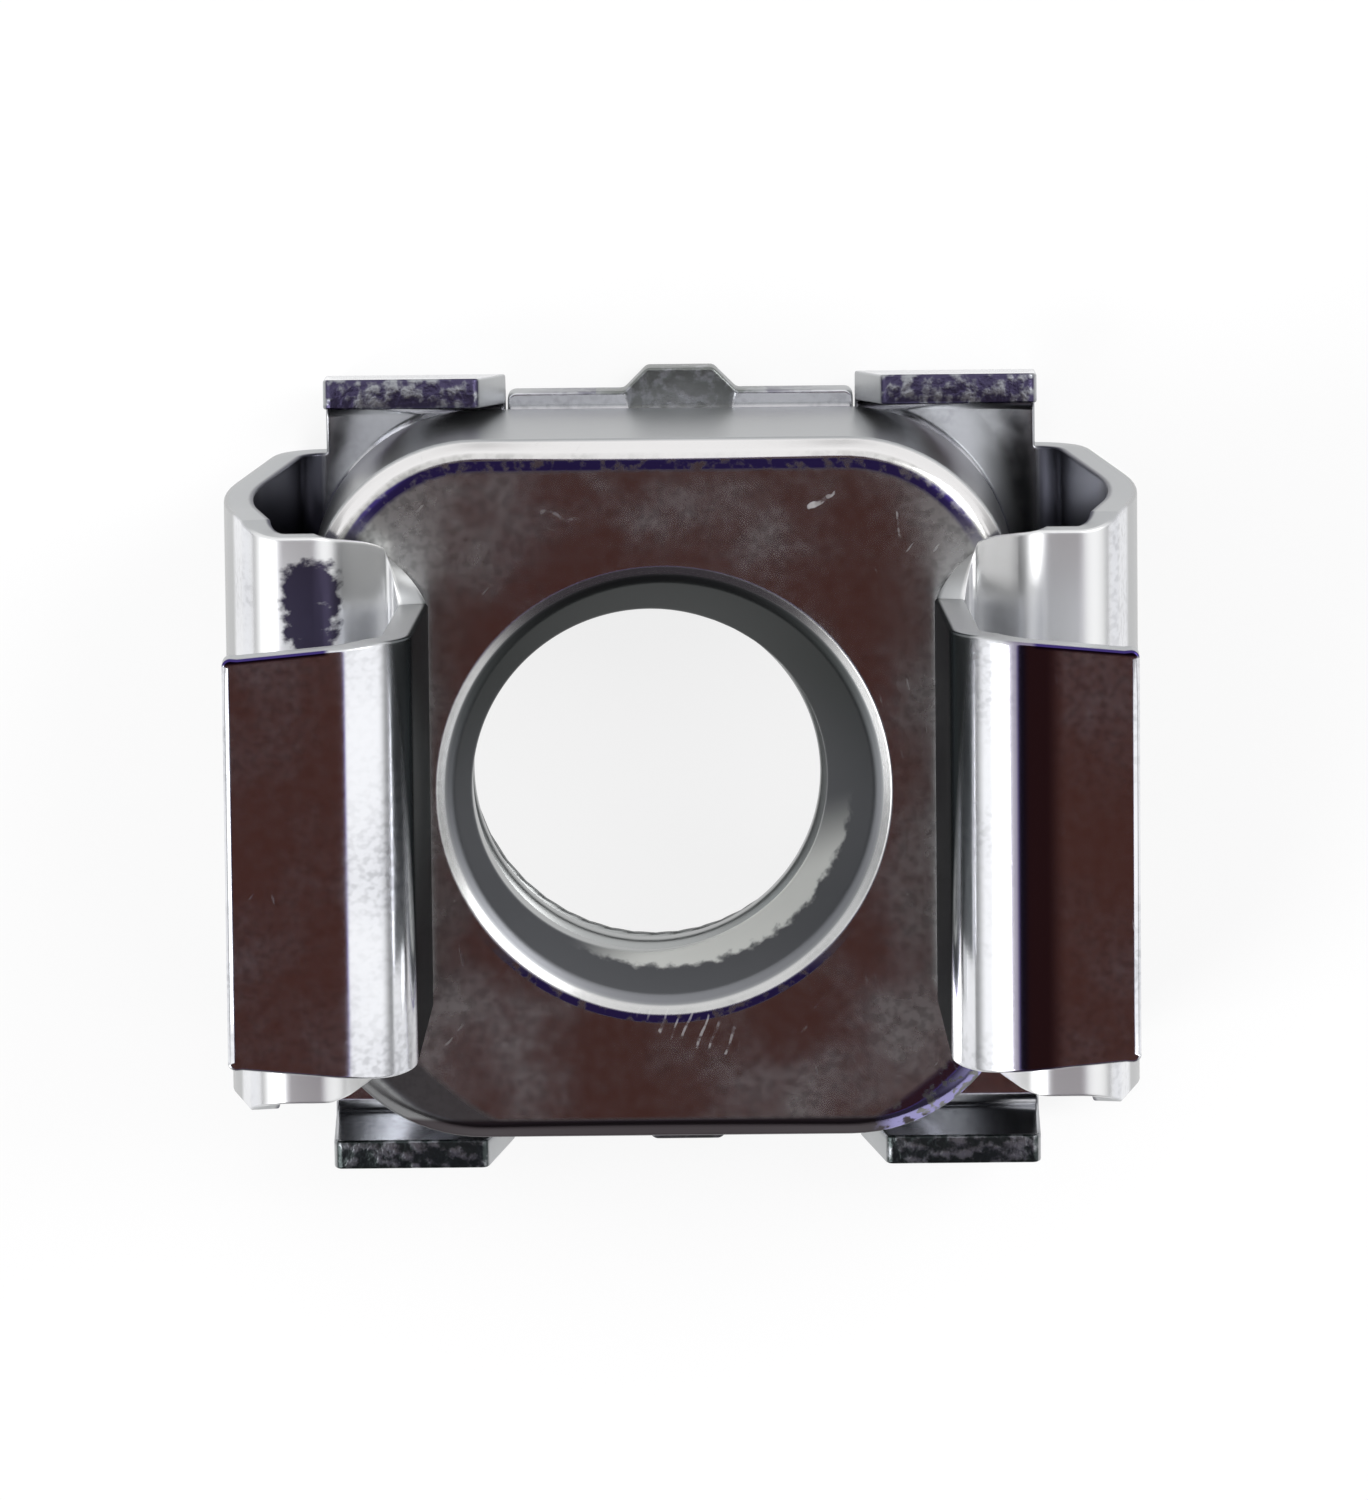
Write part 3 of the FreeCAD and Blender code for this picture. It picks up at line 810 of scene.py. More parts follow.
        # Painted shade: the rear half of the cone, inside the hole, is coloured dark.
        behind = graph.product(cone, graph.ramp(on.y, *self.shaded_side))
        bearing = math.radians(self.worn_bearing)
        sideways = graph.product(on.y, math.sin(bearing))
        facing = graph.math("MULTIPLY_ADD", on.x, math.cos(bearing), sideways)
        deep = graph.ramp(on.shifted(on.z, self.worn_raggedness), *self.worn_depth, 1.0, 0.0)
        worn = graph.product(graph.ramp(facing, *self.worn_side), deep, cone)
        return [
            Zone(wall, self.bore_colour, self.bore_roughness),
            Zone(cone, self.cone_colour, self.cone_roughness),
            Zone(behind, self.cone_shade_colour, self.cone_roughness),
            Zone(worn, self.worn_colour, self.worn_roughness),
        ]

    def zones(self, on: Surface) -> list[Zone]:
        """The nut's worn and dark parts, with painted shade and a painted highlight at the front.

        Args:
            on: The surface.

        Returns:
            The zones, the later ones on top.
        """
        shown = on.graph.product(self.on_face(on), on.broken(self.stroke_breaks, self.stroke_least))
        struck = [
            Zone(on.graph.product(patch.mask(on), shown), self.stroke_colour, self.stroke_roughness)
            for patch in self.strokes
        ]
        return self.lines(on) + self.corners(on) + struck + self.bore(on)


@dataclass(frozen=True)
class Bend:
    """A fold of a strip: where it starts on the flat blank, how far it turns, and its middle radius."""

    start: float
    angle: float
    radius: float
    turn: Turn


@dataclass
class StripRoute:
    """The middle line of a folded strip, walked from the flat blank's own coordinate."""

    start: float
    level: float
    parts: list[tuple[float, float, float, int]] = field(default_factory=list)
    bends: list[Bend] = field(default_factory=list)

    @property
    def length(self) -> float:
        """How far along the blank the route reaches."""
        return self.start + sum(part[0] for part in self.parts)

    def run(self, length: float) -> None:
        """Adds a straight run.

        Args:
            length: Its length.
        """
        self.parts.append((length, 0.0, 0.0, 0))

    def fold(self, angle: float, radius: float, turn: Turn) -> None:
        """Adds a bend.

        Args:
            angle: How far it turns, in degrees.
            radius: Radius of the middle line.
            turn: Which way it turns.
        """
        self.bends.append(Bend(self.length, angle, radius, turn))
        self.parts.append((radius * math.radians(angle), angle, radius, turn.value))

    def at(self, flat: float) -> tuple[float, float, float]:
        """Where a place on the blank ends up.

        Args:
            flat: The coordinate along the blank.

        Returns:
            Distance across, level and heading in radians.
        """
        across, level, heading, left = self.start, self.level, 0.0, flat - self.start
        if left <= 0:
            return flat, level, heading
        for length, angle, radius, side in self.parts:
            step = min(left, length)
            if side == 0:
                across += step * math.cos(heading)
                level += step * math.sin(heading)
            else:
                turned = heading + side * step / radius
                across += side * radius * (math.sin(turned) - math.sin(heading))
                level -= side * radius * (math.cos(turned) - math.cos(heading))
                heading = turned
            left -= step
            if left <= 0:
                break
        return across, level, heading

    def samples(self, arc_step: float, run_step: float) -> list[float]:
        """Coordinates along the blank, close together in the bends.

        Args:
            arc_step: Most degrees between two of them in a bend.
            run_step: Most millimetres between two of them in a run.

        Returns:
            The coordinates, from the start to the end.
        """
        flat, found = self.start, [self.start]
        for length, angle, _, side in self.parts:
            count = math.ceil(angle / arc_step) if side else max(2, math.ceil(length / run_step))
            found += [flat + length * number / count for number in range(1, count + 1)]
            flat += length
        return found


@dataclass(frozen=True)
class BendTree:
    """The Geometry Nodes trees that fold a blank."""

    name: str
    wing: tuple[Bend, ...]
    tab: Bend
    tab_inner: float
    mid_plane: float

    def bend_group(self) -> bpy.types.NodeTree:
        """One bend, as a group: it turns what lies past its start, and carries the rest along.

        Returns:
            The node group.
        """
        tree = bpy.data.node_groups.new(f"{self.name}_bend", "GeometryNodeTree")
        for label in ("Flat", "Along", "Off", "Start", "Angle", "Radius", "Side"):
            tree.interface.new_socket(label, in_out="INPUT", socket_type="NodeSocketFloat")
        for label in ("Along", "Off"):
            tree.interface.new_socket(label, in_out="OUTPUT", socket_type="NodeSocketFloat")
        graph = NodeGraph(tree)
        given = graph.add("NodeGroupInput").outputs
        past = graph.math("MAXIMUM", graph.math("SUBTRACT", given["Flat"], given["Start"]), 0.0)
        turned = graph.math("MINIMUM", past, graph.product(given["Angle"], given["Radius"]))
        angle = graph.math("DIVIDE", turned, given["Radius"])
        sine, cosine = graph.math("SINE", angle), graph.math("COSINE", angle)
        rest = graph.math("SUBTRACT", graph.math("SUBTRACT", given["Along"], given["Start"]), turned)
        arm = graph.math("SUBTRACT", given["Radius"], graph.product(given["Side"], given["Off"]))
        swung = graph.math("MULTIPLY_ADD", arm, sine, given["Start"])
        along = graph.math("MULTIPLY_ADD", rest, cosine, swung)
        risen = graph.math("SUBTRACT", given["Radius"], graph.product(arm, cosine))
        off = graph.product(given["Side"], graph.math("MULTIPLY_ADD", rest, sine, risen))
        graph.add("NodeGroupOutput", {"Along": along, "Off": off})
        return tree

    def build(self) -> tuple[bpy.types.NodeTree, dict[str, float]]:
        """The whole fold: both wings, then the four tabs.

        Returns:
            The tree and the values of its inputs, in metres and radians.
        """
        group = self.bend_group()
        values = {"Tab inner end": self.tab_inner * MM, "Middle level": self.mid_plane * MM}
        named = [(f"Wing bend {number}", bend) for number, bend in enumerate(self.wing, start=1)]
        for label, bend in [*named, ("Tab bend", self.tab)]:
            values[f"{label} start"] = bend.start * MM
            values[f"{label} angle"] = math.radians(bend.angle)
            values[f"{label} radius"] = bend.radius * MM
        graph, given, place = start_tree(self.name, list(values))
        side_x, side_y = graph.math("SIGN", place[0]), graph.math("SIGN", place[1])
        flat_x, flat_y = graph.math("ABSOLUTE", place[0]), graph.math("ABSOLUTE", place[1])

        def bent(
            label: str, bend: Bend, flat: object, along: object, off: object, share: object
        ) -> list[bpy.types.NodeSocket]:
            """One bend of the chain, with its angle scaled by share."""
            node = graph.add("GeometryNodeGroup", node_tree=group)
            feeds = {
                "Flat": flat, "Along": along, "Off": off, "Start": given[f"{label} start"],
                "Angle": graph.product(given[f"{label} angle"], share),
                "Radius": given[f"{label} radius"], "Side": float(bend.turn.value),
            }
            for name, value in feeds.items():
                graph.feed(node.inputs[name], value)
            return [node.outputs["Along"], node.outputs["Off"]]

        along, off = flat_x, place[2]
        for label, bend in reversed(named):
            along, off = bent(label, bend, flat_x, along, off, 1.0)
        in_tab = graph.math("GREATER_THAN", flat_x, given["Tab inner end"])
        reach, level = bent("Tab bend", self.tab, flat_y, flat_y, off, in_tab)
        folded = graph.add("ShaderNodeCombineXYZ", {
            0: graph.product(side_x, along),
            1: graph.product(side_y, reach),
            2: graph.math("ADD", level, given["Middle level"]),
        })
        feeds = {"Geometry": given["Geometry"], "Position": folded.outputs[0]}
        moved = graph.add("GeometryNodeSetPosition", feeds)
        return end_tree(graph, given, moved.outputs[0]), values


def start_tree(name: str, sizes: list[str]) -> tuple[NodeGraph, object, object]:
    """Starts a tree that shapes one piece.

    Args:
        name: The tree's name.
        sizes: Names of the sizes that it takes.

    Returns:
        Its nodes, its inputs by name, and the three coordinates of a point of the mesh.
    """
    tree = bpy.data.node_groups.new(name, "GeometryNodeTree")
    tree.interface.new_socket("Geometry", in_out="INPUT", socket_type="NodeSocketGeometry")
    tree.interface.new_socket("Finish", in_out="INPUT", socket_type="NodeSocketMaterial")
    for label in sizes:
        tree.interface.new_socket(label, in_out="INPUT", socket_type="NodeSocketFloat")
    tree.interface.new_socket("Geometry", in_out="OUTPUT", socket_type="NodeSocketGeometry")
    graph = NodeGraph(tree)
    given = graph.add("NodeGroupInput").outputs
    position = graph.add("GeometryNodeInputPosition").outputs[0]
    return graph, given, graph.add("ShaderNodeSeparateXYZ", {0: position}).outputs


def end_tree(graph: NodeGraph, given: object, shaped: bpy.types.NodeSocket) -> bpy.types.NodeTree:
    """Ends a tree with its instances made real and its finish set.

    Args:
        graph: The tree's nodes.
        given: Its inputs by name.
        shaped: The shaped geometry.

    Returns:
        The finished tree.
    """
    whole = graph.add("GeometryNodeRealizeInstances", {0: shaped})
    feeds = {"Geometry": whole.outputs[0], "Material": given["Finish"]}
    dressed = graph.add("GeometryNodeSetMaterial", feeds)
    graph.add("NodeGroupOutput", {"Geometry": dressed.outputs[0]})
    return graph.tree


def linked(name: str, data: bpy.types.ID) -> bpy.types.Object:
    """Makes an object of a mesh, camera or lamp and links it to the scene.

    Args:
        name: The object's name.
        data: What it shows.

    Returns:
        The object, at the origin.
    """
    made = bpy.data.objects.new(name, data)
    bpy.context.scene.collection.objects.link(made)
    return made


def apply_tree(
    piece: bpy.types.Object, tree: bpy.types.NodeTree, values: dict[str, object], name: str
) -> bpy.types.Object:
    """Runs a tree on a piece and keeps the result as a plain mesh.

    Args:
        piece: The object that holds the starting mesh.
        tree: The Geometry Nodes tree.
        values: The values of its inputs by name.
        name: Name of the finished piece.

    Returns:
        The finished piece, at the origin.
    """
    modifier = piece.modifiers.new("shape", "NODES")
    modifier.node_group = tree
    for item in tree.interface.items_tree:
        if item.in_out == "INPUT" and item.name in values:
            modifier[item.identifier] = values[item.name]
    piece.update_tag()
    graph = bpy.context.evaluated_depsgraph_get()
    mesh = bpy.data.meshes.new_from_object(piece.evaluated_get(graph), depsgraph=graph)
    mesh.name = name
    bpy.data.objects.remove(piece)
    for polygon in mesh.polygons:
        polygon.use_smooth = True
    return linked(name, mesh)


def mesh_object(name: str, shell: bmesh.types.BMesh) -> bpy.types.Object:
    """Makes an object of a bmesh that is drawn in millimetres.

    Args:
        name: The object's name.
        shell: The closed mesh.

    Returns:
        The object, in metres.
    """
    bmesh.ops.recalc_face_normals(shell, faces=shell.faces)
    bmesh.ops.scale(shell, vec=(MM, MM, MM), verts=shell.verts)
    mesh = bpy.data.meshes.new(name)
    shell.to_mesh(mesh)
    shell.free()
    return linked(name, mesh)


@dataclass
class Blank:
    """A flat sheet blank with a hole, cut out with eased edges."""

    outline: list[Point]
    hole_radius: float
    thickness: float
    ease: float = 0.035
    support: float = 0.02
    ease_steps: int = 4
    hole_steps: int = 160
    round_end: float = 0.1
    end_margin: float = 0.001
    sharp: float = 25.0
    corner_steps: int = 5
    corner_room: float = 0.45
    row_gap: float = 0.45

    def sharp_corners_rounded(self, radius: float) -> None:
        """Gives the outline's sharp corners a small radius in plan.

        Args:
            radius: The radius, less where the corner's edges are short.
        """
        rounded = []
        count = len(self.outline)
        for number, here in enumerate(self.outline):
            before, after = self.outline[number - 1], self.outline[(number + 1) % count]
            into = math.atan2(here[1] - before[1], here[0] - before[0])
            out = math.atan2(after[1] - here[1], after[0] - here[0])
            turn = (out - into + math.pi) % (2 * math.pi) - math.pi
            if abs(turn) < math.radians(self.sharp):
                rounded.append(here)
                continue
            room = self.corner_room * min(math.dist(before, here), math.dist(here, after))
            reach = min(radius * math.tan(abs(turn) / 2), room)
            arm = reach / math.tan(abs(turn) / 2)
            side = math.copysign(1.0, turn)
            start = (here[0] - reach * math.cos(into), here[1] - reach * math.sin(into))
            centre = (start[0] - side * arm * math.sin(into), start[1] + side * arm * math.cos(into))
            for step in range(self.corner_steps + 1):
                heading = into + turn * step / self.corner_steps
                rounded.append(
                    (centre[0] + side * arm * math.sin(heading), centre[1] - side * arm * math.cos(heading))
                )
        self.outline = rounded

    def eases(self, loop: list[Point]) -> list[float]:
        """How far the sheet's edge is rounded at each point, which is more at the two far ends.

        Args:
            loop: The edge's points.

        Returns:
            One radius for each.
        """
        reach = max(x for x, _ in loop)
        if reach < 2 * self.hole_radius:
            return [self.ease] * len(loop)
        return [self.round_end if abs(x) > reach - self.end_margin else self.ease for x, _ in loop]

    @staticmethod
    def inset(loop: list[Point], distances: list[float]) -> list[Point]:
        """Moves a loop sideways into the sheet.

        Args:
            loop: Points that have the sheet on their left.
            distances: How far, for each point.

        Returns:
            The moved points, one for each.
        """
        moved = []
        for number, here in enumerate(loop):
            before, after = loop[number - 1], loop[(number + 1) % len(loop)]
            first = Vector((here[0] - before[0], here[1] - before[1])).normalized()
            second = Vector((after[0] - here[0], after[1] - here[1])).normalized()
            left = Vector((-first.y - second.y, first.x + second.x)) / (1 + first.dot(second))
            moved.append((here[0] + distances[number] * left.x, here[1] + distances[number] * left.y))
        return moved

    def hole(self) -> list[Point]:
        """The hole's edge, with the sheet on its left."""
        angles = (-2 * math.pi * number / self.hole_steps for number in range(self.hole_steps))
        return [(self.hole_radius * math.cos(angle), self.hole_radius * math.sin(angle)) for angle in angles]

    def build(
        self, cross_lines: tuple[float, float], tab_lines: tuple[float, float]
    ) -> bpy.types.Object:
        """Makes the blank's closed mesh.

        Args:
            cross_lines: The range of X in which lines are drawn across a wing.
            tab_lines: The range of Y in which lines are drawn across a tab.

        Returns:
            An object in metres, with its middle plane at level 0.
        """
        loops = [self.outline, self.hole()]
        eases = [self.eases(loop) for loop in loops]
        inner = [self.inset(loop, [ease + self.support for ease in own]) for loop, own in zip(loops, eases)]
        points = [Vector(point) for loop in inner for point in loop]
        edges, base = [], 0
        for loop in inner:
            edges += [(base + number, base + (number + 1) % len(loop)) for number in range(len(loop))]
            base += len(loop)
        edges += self.lines_between(points, inner[0], cross_lines, 0)
        edges += self.lines_between(points, inner[0], tab_lines, 1)
        placed, _, faces, origins, _, _ = delaunay_2d_cdt(points, edges, [], 1, MERGE)

        shell = bmesh.new()
        place = shell.verts.layers.float_vector.new(FLAT)
        cut = shell.verts.layers.float.new(CUT)
        half = self.thickness / 2

        def vertex(point: Point, level: float, sheared: float) -> bmesh.types.BMVert:
            """Adds one point of the sheet and notes where it lies on the blank."""
            made = shell.verts.new((point[0], point[1], level))
            made[place], made[cut] = made.co.copy(), sheared
            return made

        top = [vertex(point, half, 0.0) for point in placed]
        bottom = [vertex(point, -half, 0.0) for point in placed]
        clear = self.hole_radius + self.ease
        for face in faces:
            middle = sum((placed[number] for number in face), Vector((0.0, 0.0))) / len(face)
            if middle.length > clear:
                shell.faces.new([top[number] for number in face])
                shell.faces.new([bottom[number] for number in reversed(face)])
        home = {origin: number for number, found in enumerate(origins) for origin in found}
        base = 0
        turns = [math.pi / 2 * step / self.ease_steps for step in range(self.ease_steps + 1)]
        for loop, own in zip(loops, eases):
            count = len(loop)
            rows = [[top[home[base + number]] for number in range(count)]]
            for angle, side in [(turn, 1) for turn in turns] + [(turn, -1) for turn in reversed(turns)]:
                points = self.inset(loop, [ease * (1 - math.sin(angle)) for ease in own])
                levels = [side * (half - ease * (1 - math.cos(angle))) for ease in own]
                sheared = [math.sin(angle) * float(ease < self.round_end) for ease in own]
                rows.append([vertex(*parts) for parts in zip(points, levels, sheared)])
            rows.append([bottom[home[base + number]] for number in range(count)])
            for upper, lower in zip(rows, rows[1:]):
                for number in range(count):
                    other = (number + 1) % count
                    shell.faces.new((upper[number], lower[number], lower[other], upper[other]))
            base += count
        loose = [vert for vert in shell.verts if not vert.link_faces]
        bmesh.ops.delete(shell, geom=loose, context="VERTS")
        return mesh_object("blank", shell)

    def lines_between(
        self, points: list[Vector], loop: list[Point], lines: tuple[float, float], axis: int
    ) -> list[tuple[int, int]]:
        """Edges straight across the blank between points of its outline that face each other.

        Args:
            points: All points so far, which the new ones join. The outline comes first.
            loop: The outline.
            lines: Range of the axis in which outline points are joined across.
            axis: 0 for lines of constant X and 1 for lines of constant Y.

        Returns:
            The edges.
        """
        edges = []
        low, high = lines
        groups: dict[tuple, list[int]] = {}
        for number, point in enumerate(loop):
            if low < abs(point[axis]) < high:
                key = (round(point[axis], 4), 0 if axis == 0 else math.copysign(1, point[0]))
                groups.setdefault(key, []).append(number)
        for members in groups.values():
            if len(members) != 2:
                continue
            first, last = sorted(members, key=lambda number: loop[number][1 - axis])
            start, end = Vector(loop[first]), Vector(loop[last])
            pieces = max(2, math.ceil((end - start).length / self.row_gap))
            chain = [first]
            for step in range(1, pieces):
                points.append(start.lerp(end, step / pieces))
                chain.append(len(points) - 1)
            chain.append(last)
            edges += list(zip(chain, chain[1:]))
        return edges


@dataclass
class SpringCage:
    """The cage: a base plate with a hole and two nibs, four corner tabs and two folded wings."""

    finish: ZincFinish
    strip: float = 0.42
    base_across: float = 5.05
    base_along: float = 5.28
    hole_radius: float = 3.72
    nib_reach: float = 5.61
    nib_root: float = 0.8
    nib_tip: float = 0.475
    tab_start: float = 4.95
    tab_inner: float = 2.49
    tab_inner_top: float = 2.85
    tab_slit: float = 0.03
    tab_lean: float = 6.0
    tab_height: float = 1.9
    tab_radius: float = 0.41
    nut_face: float = 3.62
    wing_root: float = 4.43
    wing_shoulder: float = 4.2
    wing_crest: float = 4.02
    taper_rise: float = 3.3
    base_radius: float = 0.61
    lower_lean: float = 16.0
    bulge_radius: float = 3.21
    bulge_level: float = 3.12
    upper_lean: float = 12.0
    shoulder_radius: float = 0.41
    crest_top: float = 5.37
    crest_flat: float = 0.35
    crest_radius: float = 0.35
    tip_reach: float = 3.55
    tip_radius: float = 0.31
    tip_clearance: float = 0.08
    tip_half: float = 2.84
    tip_corner: Point = (4.7, 3.9)
    tip_corner_radius: float = 1.7
    neck_lean: float = 2.5
    neck_flare: float = 2.6
    neck_radius: float = 0.9
    lip_top: float = 8.6
    lip_reach: float = 6.29
    lip_root: Point = (4.49, 3.02)
    lip_edge: Point = (5.99, 2.88)
    lip_corner: float = 0.12
    plan_corner: float = 0.12
    upright: float = 105.0
    torn_margin: float = 0.045
    nib_margin: float = 0.1
    least_run: float = 0.001
    wing_line_gap: float = 0.02
    tab_line_gap: float = 0.01
    arc_step: float = 5.5
    run_step: float = 0.22
    tab_rows: int = 14
    lip_steps: int = 8

    def route(self) -> StripRoute:
        """The wing's middle line: wall, shoulder, crest, slope to the nut, neck and lip.

        Returns:
            The route, whose start is where the base plate ends.
        """
        middle = self.strip / 2
        lower = math.radians(90 - self.lower_lean)
        upper = math.radians(90 + self.upper_lean)
        neck = math.radians(90 - self.neck_lean)
        inward = math.pi

        def touch(centre: Point, radius: float, heading: float, turn: Turn) -> Point:
            """Where a line with this heading touches a bend."""
            side = turn.value
            arm = side * radius
            return centre[0] + arm * math.sin(heading), centre[1] - arm * math.cos(heading)

        def next_centre(
            foot: Point, heading: float, level: float, radius: float, turn: Turn
        ) -> Point:
            """Centre of the bend at this level that a line from foot runs into."""
            rise = level - turn.value * radius * math.cos(heading) - foot[1]
            across = foot[0] + rise / math.tan(heading) - turn.value * radius * math.sin(heading)
            return across, level

        base = (self.base_across, middle + self.base_radius)
        foot = touch(base, self.base_radius, lower, Turn.LEFT)
        bulge = next_centre(foot, lower, self.bulge_level, self.bulge_radius, Turn.LEFT)
        foot = touch(bulge, self.bulge_radius, upper, Turn.LEFT)
        shoulder_level = self.crest_top - middle - self.shoulder_radius
        shoulder = next_centre(foot, upper, shoulder_level, self.shoulder_radius, Turn.LEFT)
        crest = (shoulder[0] - self.crest_flat, self.crest_top - middle - self.crest_radius)
        tip_level = self.nut_face + self.tip_clearance + middle + self.tip_radius
        tip = (self.tip_reach + middle + self.tip_radius, tip_level)
        bearing = math.atan2(tip[1] - crest[1], tip[0] - crest[0]) % (2 * math.pi)
        slope = bearing + math.asin((self.crest_radius + self.tip_radius) / math.dist(crest, tip))
        foot = touch(tip, self.tip_radius, neck, Turn.RIGHT)
        lip_level = self.lip_top - middle
        top = next_centre(foot, neck, lip_level - self.neck_radius, self.neck_radius, Turn.RIGHT)

        folds = [
            (base, self.base_radius, 0.0, lower, Turn.LEFT),
            (bulge, self.bulge_radius, lower, upper, Turn.LEFT),
            (shoulder, self.shoulder_radius, upper, inward, Turn.LEFT),
            (crest, self.crest_radius, inward, slope, Turn.LEFT),
            (tip, self.tip_radius, slope, neck, Turn.RIGHT),
            (top, self.neck_radius, neck, 0.0, Turn.RIGHT),
        ]
        route = StripRoute(self.base_across, middle)
        last = (self.base_across, middle)
        for centre, radius, arrives, leaves, turn in folds:
            run = math.dist(last, touch(centre, radius, arrives, turn))
            if run > self.least_run:
                route.run(run)
            route.fold(math.degrees(abs(leaves - arrives)), radius, turn)
            last = touch(centre, radius, leaves, turn)
        route.run(self.lip_reach - last[0])
        return route

    def half_width(self, route: StripRoute, flat: float) -> float:
        """Half the wing's width at a place on the blank.

        Args:
            route: The wing's middle line.
            flat: The coordinate along the blank.

        Returns:
            The half width.
        """
        across, level, heading = route.at(flat)
        shoulder_bend, tip_bend, neck_bend = route.bends[2], route.bends[4], route.bends[5]
        if flat < shoulder_bend.start:
            share = min(max((level - self.strip) / self.taper_rise, 0.0), 1.0)
            return self.wing_root + (self.wing_shoulder - self.wing_root) * share
        crest_level = self.crest_top - self.strip / 2
        if flat < shoulder_bend.start + shoulder_bend.radius * math.radians(shoulder_bend.angle):
            foot = route.at(shoulder_bend.start)[1]
            share = (level - foot) / (crest_level - foot)
            return self.wing_shoulder + (self.wing_crest - self.wing_shoulder) * share
        turned = math.degrees(heading)
        neck = self.tip_half + (level - self.nut_face) * math.tan(math.radians(self.neck_flare))
        if flat > tip_bend.start and turned < self.upright:
            if flat < neck_bend.start:
                return neck
            (x0, y0), (x1, y1) = self.lip_root, self.lip_edge
            lip = y0 + (across - x0) * (y1 - y0) / (x1 - x0)
            return min(neck, lip)
        seen = self.tip_centre_shift(across)
        corner_x, corner_y = self.tip_corner
        if seen > corner_x:
            share = (seen - corner_x) / (self.base_across - corner_x)
            return min(corner_y + (self.wing_crest - corner_y) * share, self.wing_crest)
        return self.tip_arc(seen)

    def tip_centre_shift(self, across: float) -> float:
        """The distance across that the tip's plan outline has for a point of the middle line."""
        reach = self.tip_reach + self.strip / 2
        return self.base_across - (self.base_across - across) * (
            (self.base_across - self.tip_reach) / (self.base_across - reach)
        )

    def tip_arc(self, across: float) -> float:
        """Half width of the tip's rounded corner at this distance across."""
        start, finish = (self.tip_reach, self.tip_half), self.tip_corner
        chord = math.dist(start, finish)
        along = ((finish[0] - start[0]) / chord, (finish[1] - start[1]) / chord)
        depth = math.sqrt(self.tip_corner_radius ** 2 - (chord / 2) ** 2)
        centre = (
            (start[0] + finish[0]) / 2 + depth * along[1],
            (start[1] + finish[1]) / 2 - depth * along[0],
        )
        inside = self.tip_corner_radius ** 2 - (across - centre[0]) ** 2
        return centre[1] + math.sqrt(max(inside, 0.0))

    def outline(self, route: StripRoute) -> list[Point]:
        """The blank's outline, counterclockwise, with the hole left out.

        Args:
            route: The wing's middle line.

        Returns:
            Its points.
        """
        end = route.length
        edge = self.lip_edge[1]
        quarter = [(end, edge * step / self.lip_steps) for step in range(self.lip_steps - 1)]
        for step in range(self.lip_steps + 1):
            angle = math.pi / 2 * step / self.lip_steps
            quarter.append((
                end - self.lip_corner * (1 - math.cos(angle)),
                edge - self.lip_corner * (1 - math.sin(angle)),
            ))
        flats = route.samples(self.arc_step, self.run_step)
        inner = [flat for flat in flats if flat < end - self.lip_corner - self.wing_line_gap]
        quarter += [(flat, self.half_width(route, flat)) for flat in reversed(inner)]
        tab_bend = self.tab_bend()
        arc = tab_bend.radius * math.radians(tab_bend.angle)
        tab_end = tab_bend.start + arc + self.tab_run()
        rows = [self.tab_start + arc * step / self.tab_rows for step in range(self.tab_rows + 1)]
        quarter += [(self.base_across, row) for row in rows]
        quarter += [(self.base_across, tab_end), (self.tab_inner_top, tab_end)]
        quarter += [(self.tab_inner, row) for row in reversed(rows)]
        slit = self.tab_inner - self.tab_slit
        quarter += [(slit, self.tab_start), (slit, self.base_along), (self.nib_root, self.base_along)]
        quarter += [(self.nib_tip, self.nib_reach), (0.0, self.nib_reach)]
        left = [(-x, y) for x, y in reversed(quarter[:-1])]
        upper = quarter + left
        lower = [(-x, -y) for x, y in upper[1:-1]]
        return upper + lower

    def tab_bend(self) -> Bend:
        """The fold at the root of each corner tab."""
        return Bend(self.tab_start, 90 - self.tab_lean, self.tab_radius, Turn.LEFT)

    def tab_run(self) -> float:
        """Length of the tab's straight part above its bend."""
        lean = math.radians(90 - self.tab_lean)
        leaves = self.strip / 2 + self.tab_radius * (1 - math.cos(lean))
        return (self.tab_height - leaves) / math.sin(lean)

    def mark_torn(self, sheet: bpy.types.Object) -> None:
        """Marks the ends that were torn off the strip: the tabs' tops and the nibs.

        Args:
            sheet: The flat blank.
        """
        bend = self.tab_bend()
        tab_end = bend.start + bend.radius * math.radians(bend.angle) + self.tab_run()
        low, high = self.base_along - self.torn_margin, self.nib_reach + self.nib_margin
        torn = sheet.data.attributes.new(TORN, "FLOAT", "POINT")
        for number, vertex in enumerate(sheet.data.vertices):
            across, along = abs(vertex.co.x) / MM, abs(vertex.co.y) / MM
            on_tab = along > tab_end - self.torn_margin
            on_nib = across < self.nib_root + self.nib_margin and low < along < high
            torn.data[number].value = float(on_tab or on_nib)

